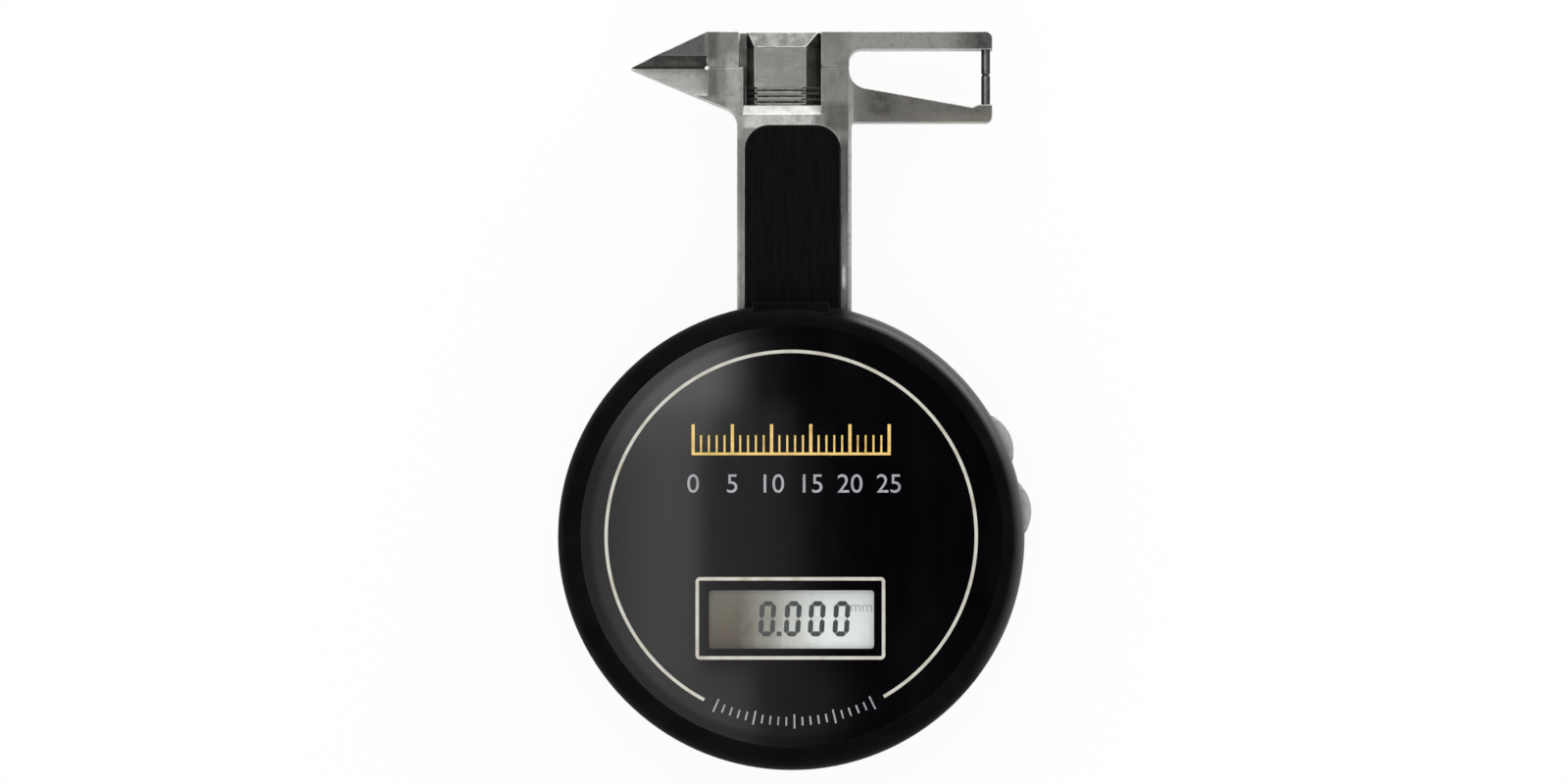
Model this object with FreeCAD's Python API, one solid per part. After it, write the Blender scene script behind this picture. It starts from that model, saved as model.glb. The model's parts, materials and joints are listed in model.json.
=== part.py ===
import FreeCAD, Part
import math
import os

# Hand gauge for cut stones: a round battery case with a display, a flat steel stem,
# a fixed lower jaw and an upper jaw that slides away from it on a toothed bar.
# Millimetres. The gauge lies on its back: +Z leaves the face, +Y runs up the stem,
# +X is to the right, and the origin is the centre of the round back.

# Round case
case_radius = 29.8
parting_height = 7.5
case_wall = 1.6
back_thickness = 1.5
back_edge_radius = 2.5
bezel_edge_radius = 2.6
inner_edge_radius = 1.2
deck_thickness = 1.2
board_deck_gap = 0.9
lip_width = 0.2
shoulder_width = 2.0

# Face panel and display
panel_thickness = 1.0
panel_recess = 0.2
window_width = 21.1
window_height = 7.4
window_centre_y = -10.6
window_corner_radius = 0.4
pane_thickness = 0.8
glass_width = 24.0
glass_height = 10.4
glass_thickness = 1.1
glass_drop = 0.2
frame_wall = 1.1
strip_width = 1.0

# Stem and jaws
stem_left = 6.95
stem_right = 7.7
jaw_back_height = 4.5
jaw_thickness = 6.0
channel_floor = 1.6
channel_left = 5.8
channel_right = 3.8
throat_left = 6.15
cover_thickness = 1.4
cover_left = 5.9
cover_right = 6.22
cover_corner_radius = 3.1
cover_lap = 2.5
cover_drop = 0.42
bridge_width = 2.63
bridge_chamfer = 1.2
closing_y = 60.1
upper_jaw_height = 4.56
lower_jaw_height = 7.04
travel = 25.4
upper_recess_left = 6.7

# Beak at the left
beak_reach = 20.5
beak_root = 10.8
beak_tip_depth = 0.3
lower_beak_drop = 4.3
upper_bevel_width = 1.5
lower_bevel_width = 3.6
beak_edge_thickness = 1.0
relief_radius = 0.3

# Arms and measuring pins at the right
arm_reach = 25.7
arm_corner_radius = 0.8
upper_arm_depth = 2.29
window_left = 7.4
lower_arm_root_depth = 4.72
lower_arm_end_depth = 1.89
arm_window_radius = 2.4
upper_window_radius = 1.5
arm_foot_depth = 2.24
arm_foot_width = 1.7
pin_radius = 0.58
pin_end_wall = 0.25
pin_seat_depth = 1.2
pin_meeting_drop = 0.9
pin_tip_bevel = 0.15
arm_foot_slope = 0.8
head_hollow_radius = 2.5
arm_root_radius = 0.5

# Slide bar
bar_left_chamfer = 1.0
bar_right_chamfer = 1.9
bar_chamfer_depth = 1.6
bar_grip_drop = 2.45
bar_grip_left_inset = 0.45
bar_grip_right_inset = 0.7
bar_end_bevel = 1.9
bar_end_bevel_depth = 1.3
chamfer_inset = 1.8
groove_count = 3
groove_pitch = 0.75
groove_width = 0.4
groove_depth = 0.4
groove_drop = 2.9
jaw_screw_spacing = 4.0
jaw_screw_depth = 1.2
tongue_length = 1.8
tongue_width = 2.4
tongue_eye_gap = 0.225
tongue_post_margin = 0.8

# Rack and pinion
gear_module = 0.4
pinion_teeth = 20
pressure_angle = 20.0
tooth_backlash = 0.06
pinion_wall_drop = 9.5
rack_inset = 0.7
rack_overrun = 1.6
rack_end_margin = 0.2
addendum_share = 1.0
dedendum_share = 1.25
pinion_clear = 0.15
shaft_radius = 0.75

# Encoder
disc_radius = 5.9
disc_thickness = 0.25
disc_clearance = 0.35
hub_radius = 2.0
hub_sleeve = 0.5
slit_count = 36
slit_width = 0.45
slit_inner_radius = 4.4
slit_outer_radius = 5.5
sensor_width = 3.0
sensor_length = 3.8
sensor_slot_gap = 0.25
sensor_pinion_gap = 0.3
sensor_prong = 1.0

# Mechanism plate, bridge and pillars
plate_thickness = 1.2
plate_left = 11.0
plate_right = 17.0
plate_wall_lap = 0.7
plate_corner_radius = 1.5
plate_screw_margin = 0.6
plate_rim_gap = 1.0
boss_clearance = 0.3
tail_pocket_gap = 1.8
tail_overhang = 1.0
stem_screw_margin = 3.0
stem_screw_side_wall = 0.3
stem_screw_floor = 0.3
wall_inset = 3.7
bush_radius = 1.4
bush_flange_radius = 1.9
bush_flange_height = 0.4
bush_rise = 0.3
upper_flange_height = 0.15
pillar_radius = 1.3
pillar_distance = 8.65
pillar_angle = 72.0
bridge_plate_width = 3.6
bridge_plate_thickness = 0.7
bridge_plate_gap = 0.35
bridge_head_depth = 0.45
bridge_screw_depth = 2.2
stop_pin_radius = 0.75
stop_pin_x = -2.5
stop_pin_rise = 5.0
stop_overtravel = 0.3

# Circuit board
board_thickness = 1.0
board_gap = 0.25
board_rim_gap = 2.8
board_screw_inset = 4.4
board_screw_angles = (160.0, 270.0, 344.0)
board_pad_radius = 2.0
chip_size = 6.0
chip_thickness = 1.0
chip_x = 11.0
chip_y = -5.5
crystal_length = 6.0
crystal_radius = 0.9
crystal_x = -9.0
crystal_y = 14.0

# Battery and its door
cell_radius = 8.0
cell_thickness = 3.2
cell_step_height = 0.4
cell_step_width = 0.7
cell_x = -13.5
cell_y = -6.0
door_thickness = 1.95
door_recess = 0.15
door_gap = 0.1
door_wall_gap = 0.6
pocket_wall = 1.8
lug_reach = 0.7
lug_thickness = 0.5
lug_angle = 36.0
lug_count = 3
lug_side_angle = 5.0
coin_slot_length = 10.0
coin_slot_width = 1.3
coin_slot_depth = 0.8
contact_thickness = 0.2
contact_width = 3.0
contact_lift = 0.3
leaf_overlap = 2.5
dimple_radius = 1.2

# Push buttons
button_pair_angle = 16.2
button_spacing_gap = 0.68
button_length = 6.4
button_height = 3.8
button_reach = 1.1
button_crown_radius = 5.0
button_travel = 0.5
button_corner_radius = 0.9
button_gap = 0.1
flange_margin = 0.7
flange_thickness = 0.7
flange_clear = 0.45
plunger_radius = 0.8
plunger_length = 2.0
plunger_exposed = 1.2
switch_depth = 4.0
switch_width = 5.0
switch_drop = 2.0
plunger_gap = 0.05

# Return spring
spring_radius = 1.2
spring_wire_radius = 0.2
spring_centre_x = -1.2
spring_post_radius = 0.5
anchor_inset = 2.5
spring_boss_radius = 1.4
spring_boss_gap = 0.5
spring_tongue_gap = 1.1

# Screws and fits
case_screw_inset = 4.2
case_screw_angles = (55.0, 125.0, 235.0, 305.0)
rear_boss_radius = 2.1
front_boss_radius = 1.5
screw_radius = 0.6
screw_head_radius = 1.2
screw_head_height = 0.7
screw_slot_width = 0.35
screw_slot_depth = 0.35
case_screw_head_radius = 1.5
case_screw_recess = 2.0
small_screw_radius = 0.5
small_head_radius = 0.95
standoff_radius = 2.0
slide_clearance = 0.05
running_clearance = 0.02
thread_clearance = 0.02
screw_hole_clearance = 0.1
piece_clearance = 0.1
closing_clearance = 0.02
neck_tab_width = 9.8
neck_tab_drop = 0.6
neck_tab_overhang = 0.1
neck_tab_lap = 0.5
small_round = 0.3
pilot_floor = 1.2
pilot_tip_gap = 0.3
anchor_floor = 2.0
boss_root = 0.3
case_screw_head_height = 1.2
case_screw_margin = 0.8
board_screw_bite = 1.1
overshoot = 5.0
spare = 1.0
slot_round_share = 0.98

# Heights that follow from the sizes above, from the stem's back up to the bezel
jaw_front = jaw_back_height + jaw_thickness
bar_seat = jaw_back_height + channel_floor
bar_bottom = bar_seat + slide_clearance
cover_bottom = jaw_front - cover_thickness
bar_top = cover_bottom - 2 * slide_clearance
bar_middle = (bar_bottom + bar_top) / 2
tongue_top = bar_middle - spring_wire_radius - tongue_eye_gap
plate_top = jaw_back_height
plate_bottom = plate_top - plate_thickness
disc_bottom = bar_top + disc_clearance
disc_top = disc_bottom + disc_thickness
bridge_bottom = disc_top + bridge_plate_gap
bridge_top = bridge_bottom + bridge_plate_thickness
board_bottom = bridge_top + board_gap
board_top = board_bottom + board_thickness
deck_bottom = board_top + board_deck_gap
deck_top = deck_bottom + deck_thickness
panel_top = deck_top + panel_thickness
case_height = panel_top + panel_recess
neck_tab_height = case_height - neck_tab_drop
glass_top = deck_top - glass_drop
glass_bottom = glass_top - glass_thickness
case_screw_depth = deck_bottom - case_screw_margin
board_screw_depth = board_top + board_screw_bite
cell_bottom = door_recess + door_thickness
cell_top = cell_bottom + cell_thickness
pocket_top = cell_top + piece_clearance
pin_z = jaw_back_height + jaw_thickness / 2
button_z = parting_height

# Places in plan that follow from the case's size
case_inner_radius = case_radius - case_wall
lip_radius = case_radius - bezel_edge_radius - lip_width
board_radius = case_inner_radius - board_rim_gap
board_screw_circle = board_radius - board_screw_inset
case_screw_circle = case_inner_radius - case_screw_inset
wall_bottom_y = case_inner_radius - wall_inset
neck_tab_root_y = wall_bottom_y + neck_tab_lap
chamfer_start_y = case_radius - chamfer_inset
spring_anchor_y = anchor_inset - case_inner_radius
flange_half = button_length / 2 + flange_margin
flange_outer = math.sqrt(case_inner_radius ** 2 - flange_half ** 2) - flange_clear
flange_inner = flange_outer - flange_thickness
button_half_angle = math.degrees(math.atan((flange_half + button_spacing_gap / 2) / flange_inner))
button_angles = {
    "on_off": button_pair_angle + button_half_angle,
    "zero": button_pair_angle - button_half_angle,
}
pocket_inner_radius = cell_radius + door_wall_gap
pocket_outer_radius = pocket_inner_radius + pocket_wall

# Places of the stem, the jaws and the mechanism
head_top_y = closing_y + upper_jaw_height
head_bottom_y = closing_y - lower_jaw_height
cover_top_y = head_bottom_y - cover_drop
pin_x = arm_reach - pin_end_wall - pin_radius
pin_meeting_y = closing_y - pin_meeting_drop
pinion_y = wall_bottom_y - pinion_wall_drop
pinion_radius = gear_module * pinion_teeth / 2
addendum = gear_module * addendum_share
dedendum = gear_module * dedendum_share
rack_tip_x = channel_right - slide_clearance - rack_inset
pitch_line_x = rack_tip_x - addendum
pinion_x = pitch_line_x + pinion_radius
rack_top_y = pinion_y + rack_overrun
rack_bottom_y = pinion_y - travel - rack_overrun
bar_end_y = rack_bottom_y - rack_end_margin
guide_start_y = pinion_y + pinion_radius + addendum
spring_post_y = bar_end_y - tongue_length + tongue_post_margin
stop_pin_y = pinion_y + stop_pin_rise
pocket_side_y = cell_y + math.sqrt(pocket_outer_radius ** 2 - (cell_x + stem_left) ** 2)
tail_bottom_y = pocket_side_y + tail_pocket_gap
plate_bottom_y = tail_bottom_y + tail_overhang
plate_top_y = wall_bottom_y + plate_wall_lap


def flat(u, v):
    return FreeCAD.Vector(u, v, 0)


def upright(u, v):
    return FreeCAD.Vector(u, 0, v)


def sideways(u, v):
    return FreeCAD.Vector(0, u, v)


def outline(corners, plane=flat):
    """Closed wire through (u, v) corners; a third number rounds that corner."""
    points = [plane(corner[0], corner[1]) for corner in corners]
    edges = []
    last = None
    first = None
    for index, corner in enumerate(corners):
        here = points[index]
        radius = corner[2] if len(corner) > 2 else 0
        if radius:
            back = (points[index - 1] - here).normalize()
            ahead = (points[(index + 1) % len(points)] - here).normalize()
            half = back.getAngle(ahead) / 2
            start = here + back * (radius / math.tan(half))
            end = here + ahead * (radius / math.tan(half))
            inward = (back + ahead).normalize()
            middle = here + inward * (radius / math.sin(half) - radius)
        else:
            start = here
            end = here
        if last is not None and last.distanceToPoint(start) > 1e-6:
            edges.append(Part.LineSegment(last, start).toShape())
        if radius:
            edges.append(Part.Arc(start, middle, end).toShape())
        if first is None:
            first = start
        last = end
    if last.distanceToPoint(first) > 1e-6:
        edges.append(Part.LineSegment(last, first).toShape())
    return Part.Wire(edges)


def prism(corners, low, high):
    """Upright prism on a flat outline, between two heights."""
    face = Part.Face(outline(corners))
    face.translate(FreeCAD.Vector(0, 0, low))
    return face.extrude(FreeCAD.Vector(0, 0, high - low))


def prism_along_y(corners, low, high):
    """Prism whose section is given in X and Z."""
    face = Part.Face(outline(corners, upright))
    face.translate(FreeCAD.Vector(0, low, 0))
    return face.extrude(FreeCAD.Vector(0, high - low, 0))


def prism_along_x(corners, low, high):
    """Prism whose section is given in Y and Z."""
    face = Part.Face(outline(corners, sideways))
    face.translate(FreeCAD.Vector(low, 0, 0))
    return face.extrude(FreeCAD.Vector(high - low, 0, 0))


def turned(corners):
    """Ring turned about the vertical axis from a (radius, height) outline."""
    face = Part.Face(outline(corners, upright))
    return face.revolve(FreeCAD.Vector(0, 0, 0), FreeCAD.Vector(0, 0, 1), 360)


def block(x_low, x_high, y_low, y_high, z_low, z_high, radius=0):
    """Box between limits, with its upright edges rounded."""
    corners = [
        (x_low, y_low, radius),
        (x_high, y_low, radius),
        (x_high, y_high, radius),
        (x_low, y_high, radius),
    ]
    return prism(corners, z_low, z_high)


def post(x, y, radius, low, high):
    return Part.makeCylinder(radius, high - low, FreeCAD.Vector(x, y, low))


def tube(x, y, outer, inner, low, high):
    return post(x, y, outer, low, high).cut(post(x, y, inner, low, high))


def polar(radius, angle):
    turn = math.radians(angle)
    return radius * math.cos(turn), radius * math.sin(turn)


def turned_to(shape, angle):
    """Shape swung about the case's axis."""
    result = shape.copy()
    result.rotate(FreeCAD.Vector(0, 0, 0), FreeCAD.Vector(0, 0, 1), angle)
    return result


def sector(x, y, inner, outer, middle_angle, width_angle, low, high):
    """Part of a ring, centred on an angle."""
    start = FreeCAD.Vector(x, y, low)
    wedge = Part.makeCylinder(outer, high - low, start, FreeCAD.Vector(0, 0, 1), width_angle)
    wedge.rotate(start, FreeCAD.Vector(0, 0, 1), middle_angle - width_angle / 2)
    return wedge.cut(post(x, y, inner, low - overshoot, high + overshoot))


def screw(x, y, head_start, seat, tip, radius, head_radius):
    """Slotted screw along Z; the head lies between head_start and seat."""
    low, high = min(seat, tip), max(seat, tip)
    head_low, head_high = min(head_start, seat), max(head_start, seat)
    body = post(x, y, head_radius, head_low, head_high).fuse(post(x, y, radius, low, high))
    inward = 1 if seat > head_start else -1
    slot_end = head_start + inward * screw_slot_depth
    slot_low = min(head_start - inward, slot_end)
    slot_high = max(head_start - inward, slot_end)
    half = screw_slot_width / 2
    slot = block(x - head_radius, x + head_radius, y - half, y + half, slot_low, slot_high)
    return body.cut(slot).removeSplitter()


def case_screw_places():
    return [polar(case_screw_circle, angle) for angle in case_screw_angles]


def board_screw_places():
    return [polar(board_screw_circle, angle) for angle in board_screw_angles]


def plate_screw_places():
    left = -plate_left + standoff_radius
    right = plate_right - standoff_radius
    low = plate_bottom_y + standoff_radius + plate_screw_margin
    high = plate_top_y - standoff_radius - plate_screw_margin
    return [(left, low), (left, high), (right, low)]


def stem_screw_places():
    """Screws that hold the stem's tail down, outside the bar's slot."""
    inset = screw_head_radius + stem_screw_side_wall
    left = inset - stem_left
    right = stem_right - inset
    low = tail_bottom_y + stem_screw_margin
    return [(left, low), (right, low), (left, wall_bottom_y - stem_screw_margin)]


def pillar_places():
    places = []
    for angle in (-pillar_angle, pillar_angle):
        dx, dy = polar(pillar_distance, angle)
        places.append((pinion_x + dx, pinion_y + dy))
    return places


def stem_notch():
    """Way through both case halves for the stem."""
    left = -stem_left - piece_clearance
    right = stem_right + piece_clearance
    low = jaw_back_height - piece_clearance
    high = jaw_front + piece_clearance
    return block(left, right, wall_bottom_y - overshoot, case_radius + overshoot, low, high)


def button_window():
    """Opening for one button at angle zero, out along +X."""
    half = button_length / 2 + button_gap
    low = button_z - button_height / 2 - button_gap
    high = button_z + button_height / 2 + button_gap
    corners = [
        (-half, low, button_corner_radius),
        (half, low, button_corner_radius),
        (half, high, button_corner_radius),
        (-half, high, button_corner_radius),
    ]
    start = case_inner_radius - overshoot
    return prism_along_x(corners, start, case_radius + overshoot)


def cut_button_windows(shell):
    for angle in button_angles.values():
        shell = shell.cut(turned_to(button_window(), angle))
    return shell


def make_rear_case():
    shell = turned([
        (0, 0),
        (case_radius, 0, back_edge_radius),
        (case_radius, parting_height),
        (case_inner_radius, parting_height),
        (case_inner_radius, back_thickness, inner_edge_radius),
        (0, back_thickness),
    ])
    for x, y in case_screw_places():
        shell = shell.fuse(post(x, y, rear_boss_radius, back_thickness / 2, parting_height))
    for x, y in plate_screw_places():
        shell = shell.fuse(post(x, y, standoff_radius, back_thickness / 2, plate_bottom))
    boss_top = bar_middle - spring_wire_radius - piece_clearance
    anchor = post(spring_centre_x, spring_anchor_y, spring_boss_radius, back_thickness / 2, boss_top)
    pocket = post(cell_x, cell_y, pocket_outer_radius, back_thickness / 2, pocket_top)
    shell = shell.fuse(anchor).fuse(pocket)
    shell = shell.cut(post(cell_x, cell_y, pocket_inner_radius, -overshoot, pocket_top + overshoot))
    groove_radius = pocket_inner_radius + lug_reach
    lug_low = back_thickness
    lug_high = lug_low + lug_thickness + 2 * slide_clearance + door_gap
    shell = shell.cut(post(cell_x, cell_y, groove_radius, lug_low, lug_high))
    for index in range(lug_count):
        middle = lug_turn_angle() + index * 360.0 / lug_count
        width = lug_angle + 2 * lug_side_angle
        entry = sector(cell_x, cell_y, cell_radius, groove_radius, middle, width, -overshoot,
                       lug_low + slide_clearance)
        shell = shell.cut(entry)
    for x, y in case_screw_places():
        hole = screw_radius + screw_hole_clearance
        shell = shell.cut(post(x, y, hole, -overshoot, parting_height + overshoot))
        recess = case_screw_head_radius + screw_hole_clearance
        shell = shell.cut(post(x, y, recess, -overshoot, case_screw_recess))
    for x, y in plate_screw_places():
        shell = shell.cut(post(x, y, small_screw_radius + thread_clearance, pilot_floor, parting_height))
    hole = spring_post_radius + thread_clearance
    shell = shell.cut(post(spring_centre_x, spring_anchor_y, hole, anchor_floor, boss_top + spare))
    shell = shell.cut(stem_notch())
    return cut_button_windows(shell)


def lug_turn_angle():
    """Turn from locked to the entry notches, half a lug spacing."""
    return 180.0 / lug_count


def make_front_case():
    shell = turned([
        (case_inner_radius, parting_height),
        (case_radius, parting_height),
        (case_radius, case_height, bezel_edge_radius),
        (lip_radius, case_height),
        (lip_radius, deck_top),
        (0, deck_top),
        (0, deck_bottom),
        (case_inner_radius - shoulder_width, deck_bottom),
        (case_inner_radius, deck_bottom - shoulder_width),
    ])
    for x, y in case_screw_places():
        shell = shell.fuse(post(x, y, front_boss_radius, parting_height, deck_bottom + boss_root))
    for x, y in board_screw_places():
        shell = shell.fuse(post(x, y, board_pad_radius, board_top, deck_bottom + boss_root))
    half = neck_tab_width / 2
    tab_end = case_radius + neck_tab_overhang
    tab_bottom = jaw_front + piece_clearance
    tab = block(-half, half, neck_tab_root_y, tab_end, tab_bottom, neck_tab_height, small_round)
    inside = post(0, 0, lip_radius, deck_bottom - overshoot, case_height + overshoot)
    shell = shell.fuse(tab.cut(inside))
    for x, y in case_screw_places():
        shell = shell.cut(post(x, y, screw_radius + thread_clearance, parting_height - spare,
                               case_screw_depth + pilot_tip_gap))
    for x, y in board_screw_places():
        shell = shell.cut(post(x, y, small_screw_radius + thread_clearance, board_top - spare,
                               board_screw_depth + pilot_tip_gap))
    half_width = glass_width / 2 + frame_wall + 2 * piece_clearance
    half_height = glass_height / 2 + frame_wall + 2 * piece_clearance
    opening = block(-half_width, half_width, window_centre_y - half_height,
                    window_centre_y + half_height, deck_bottom - spare, deck_top + spare, small_round)
    shell = shell.cut(opening).cut(stem_notch())
    return cut_button_windows(shell)


def display_block(width, height, low, high, radius=0):
    """Block centred on the display window."""
    return block(-width / 2, width / 2, window_centre_y - height / 2,
                 window_centre_y + height / 2, low, high, radius)


def make_face_panel():
    disc = post(0, 0, lip_radius - piece_clearance / 2, deck_top, panel_top)
    window = display_block(window_width, window_height, deck_top - spare, panel_top + spare,
                           window_corner_radius)
    return disc.cut(window)


def make_display_window():
    gap = 2 * slide_clearance
    high = panel_top - slide_clearance
    return display_block(window_width - gap, window_height - gap, high - pane_thickness, high,
                         window_corner_radius)


def make_lcd_glass():
    return display_block(glass_width, glass_height, glass_bottom, glass_top, small_round)


def make_lcd_frame():
    width = glass_width + 2 * piece_clearance
    height = glass_height + 2 * piece_clearance
    outer = display_block(width + 2 * frame_wall - piece_clearance,
                          height + 2 * frame_wall - piece_clearance, board_top, glass_top, small_round)
    return outer.cut(display_block(width, height, board_top - spare, glass_top + spare))


def make_contact_strips():
    strips = []
    half = glass_width / 2 - strip_width
    for side in (-1, 1):
        middle = window_centre_y + side * (glass_height / 2 - strip_width)
        low = middle - strip_width / 2
        strips.append(block(-half, half, low, low + strip_width, board_top, glass_bottom))
    return Part.makeCompound(strips)


def make_circuit_board():
    board = post(0, 0, board_radius, board_bottom, board_top)
    for x, y in case_screw_places():
        hole = front_boss_radius + boss_clearance
        board = board.cut(post(x, y, hole, board_bottom - spare, board_top + spare))
    for x, y in board_screw_places():
        hole = small_screw_radius + screw_hole_clearance
        board = board.cut(post(x, y, hole, board_bottom - spare, board_top + spare))
    return board


def make_board_screws():
    screws = []
    for x, y in board_screw_places():
        head = board_bottom - screw_head_height
        screws.append(screw(x, y, head, board_bottom, board_screw_depth, small_screw_radius,
                            small_head_radius))
    return Part.makeCompound(screws)


def make_processor_chip():
    half = chip_size / 2
    return block(chip_x - half, chip_x + half, chip_y - half, chip_y + half,
                 board_bottom - chip_thickness, board_bottom, small_round)


def make_crystal():
    start = FreeCAD.Vector(crystal_x, crystal_y, board_bottom - crystal_radius)
    return Part.makeCylinder(crystal_radius, crystal_length, start, FreeCAD.Vector(-1, 0, 0))


def upper_jaw_corners():
    return [
        (-beak_reach, closing_y),
        (window_left, closing_y),
        (window_left, head_top_y - upper_arm_depth, upper_window_radius),
        (arm_reach, head_top_y - upper_arm_depth),
        (arm_reach, head_top_y, arm_corner_radius),
        (-beak_root, head_top_y),
    ]


def beak_bevel(width, side):
    """Wedges taken off front and back so that the closing edge is thin.

    side is 1 above the closing line and -1 below it.
    """
    depth = (jaw_thickness - beak_edge_thickness) / 2
    edge_y = closing_y - side * closing_clearance
    far_y = closing_y + side * width
    front = [(edge_y, jaw_front - depth), (far_y, jaw_front), (edge_y, jaw_front)]
    back = [(edge_y, jaw_back_height + depth), (far_y, jaw_back_height), (edge_y, jaw_back_height)]
    left = -beak_reach - overshoot
    wedges = prism_along_x(front, left, -beak_root)
    return wedges.fuse(prism_along_x(back, left, -beak_root))


def relief_hole():
    return post(-beak_root, closing_y, relief_radius, jaw_back_height - spare, jaw_front + spare)


def make_upper_jaw():
    jaw = prism(upper_jaw_corners(), jaw_back_height, jaw_front)
    recess = block(-upper_recess_left, channel_right, closing_y - spare, head_top_y + spare,
                   bar_bottom, jaw_front + spare)
    jaw = jaw.cut(recess).cut(beak_bevel(upper_bevel_width, 1)).cut(relief_hole())
    jaw = jaw.cut(pin_hole(head_top_y - upper_arm_depth - spare,
                           head_top_y - upper_arm_depth + pin_seat_depth))
    for x, y in jaw_screw_places():
        hole = small_screw_radius + screw_hole_clearance
        jaw = jaw.cut(post(x, y, hole, jaw_back_height - spare, bar_bottom + spare))
        head = small_head_radius + screw_hole_clearance
        jaw = jaw.cut(post(x, y, head, jaw_back_height - spare, jaw_back_height + screw_head_height))
    return jaw


def jaw_screw_places():
    middle = (channel_right - channel_left) / 2
    y = closing_y + upper_jaw_height / 2
    return [(middle - jaw_screw_spacing / 2, y), (middle + jaw_screw_spacing / 2, y)]


def make_jaw_screws():
    screws = []
    for x, y in jaw_screw_places():
        screws.append(screw(x, y, jaw_back_height + slide_clearance,
                            jaw_back_height + screw_head_height, bar_bottom + jaw_screw_depth,
                            small_screw_radius, small_head_radius))
    return Part.makeCompound(screws)


def pin_hole(low, high):
    start = FreeCAD.Vector(pin_x, low, pin_z)
    return Part.makeCylinder(pin_radius + thread_clearance / 2, high - low, start, FreeCAD.Vector(0, 1, 0))


def measuring_pin(low, high, tip):
    """Round pin along Y with a small cone at the tip end."""
    if tip == low:
        body_low, body_high = low + pin_tip_bevel, high
        cone = Part.makeCone(pin_radius - pin_tip_bevel, pin_radius, pin_tip_bevel,
                             FreeCAD.Vector(pin_x, low, pin_z), FreeCAD.Vector(0, 1, 0))
    else:
        body_low, body_high = low, high - pin_tip_bevel
        cone = Part.makeCone(pin_radius, pin_radius - pin_tip_bevel, pin_tip_bevel,
                             FreeCAD.Vector(pin_x, high - pin_tip_bevel, pin_z), FreeCAD.Vector(0, 1, 0))
    start = FreeCAD.Vector(pin_x, body_low, pin_z)
    body = Part.makeCylinder(pin_radius, body_high - body_low, start, FreeCAD.Vector(0, 1, 0))
    return body.fuse(cone).removeSplitter()


def make_upper_pin():
    low = pin_meeting_y + closing_clearance / 2
    return measuring_pin(low, head_top_y - upper_arm_depth + pin_seat_depth, low)


def make_lower_pin():
    high = pin_meeting_y - closing_clearance / 2
    return measuring_pin(head_bottom_y + arm_foot_depth - pin_seat_depth, high, high)


def fixed_jaw_corners():
    """Fixed jaw and stem as one outline, from the beak's tip round to the throat."""
    top = closing_y - closing_clearance
    tip_y = closing_y - beak_tip_depth
    beak_slope = (lower_beak_drop - beak_tip_depth) / (beak_reach - beak_root)
    beak_end_y = tip_y - beak_slope * (beak_reach - stem_left)
    foot_left = arm_reach - arm_foot_width
    foot_top = head_bottom_y + arm_foot_depth
    return [
        (-beak_reach, top),
        (-beak_reach, tip_y),
        (-stem_left, beak_end_y, head_hollow_radius),
        (-stem_left, tail_bottom_y),
        (stem_right, tail_bottom_y),
        (stem_right, head_bottom_y, arm_root_radius),
        (arm_reach, head_bottom_y, arm_corner_radius),
        (arm_reach, foot_top),
        (foot_left, foot_top, small_round),
        (foot_left - arm_foot_slope, head_bottom_y + lower_arm_end_depth, small_round),
        (window_left, head_bottom_y + lower_arm_root_depth, arm_window_radius),
        (window_left, top),
    ]


def cover_corners(gap):
    left = -cover_left - gap
    right = cover_right + gap
    top = cover_top_y + gap
    bottom = wall_bottom_y + cover_lap
    return [
        (left, bottom),
        (right, bottom),
        (right, top, cover_corner_radius + gap),
        (left, top, cover_corner_radius + gap),
    ]


def make_jaw_frame():
    frame = prism(fixed_jaw_corners(), jaw_back_height, jaw_front)
    tail = block(-stem_left - spare, stem_right + spare, tail_bottom_y - spare, wall_bottom_y, bar_seat,
                 jaw_front + spare)
    channel = block(-channel_left, channel_right, tail_bottom_y - spare, closing_y + spare, bar_seat,
                    cover_bottom)
    recess = prism(cover_corners(slide_clearance), cover_bottom, jaw_front + spare)
    under_tab = block(-cover_left, cover_right, wall_bottom_y - spare,
                      wall_bottom_y + cover_lap + spare, cover_bottom, jaw_front + spare)
    slot_start = cover_top_y + bridge_width
    slot = block(-throat_left, channel_right, slot_start, closing_y + spare, bar_seat, jaw_front + spare)
    ramp = prism_along_x([
        (slot_start, jaw_front - bridge_chamfer),
        (slot_start + spare, jaw_front - bridge_chamfer),
        (slot_start + spare, jaw_front + spare),
        (slot_start - bridge_chamfer - spare, jaw_front + spare),
    ], -throat_left, channel_right)
    for cutter in (tail, channel, recess, under_tab, slot, ramp):
        frame = frame.cut(cutter)
    frame = frame.cut(beak_bevel(lower_bevel_width, -1)).cut(relief_hole())
    foot_top = head_bottom_y + arm_foot_depth
    frame = frame.cut(pin_hole(foot_top - pin_seat_depth, foot_top + spare))
    hole = bush_radius + boss_clearance
    frame = frame.cut(post(pinion_x, pinion_y, hole, plate_top - spare, bar_seat + spare))
    frame = frame.cut(post(stop_pin_x, stop_pin_y, stop_pin_radius + thread_clearance, plate_top - spare,
                           bar_seat + spare))
    for x, y in stem_screw_places():
        depth = bar_seat - stem_screw_floor
        frame = frame.cut(post(x, y, screw_radius + thread_clearance, plate_top - spare, depth))
    return frame.removeSplitter()


def make_stem_cover():
    return prism(cover_corners(0), cover_bottom, jaw_front)


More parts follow.
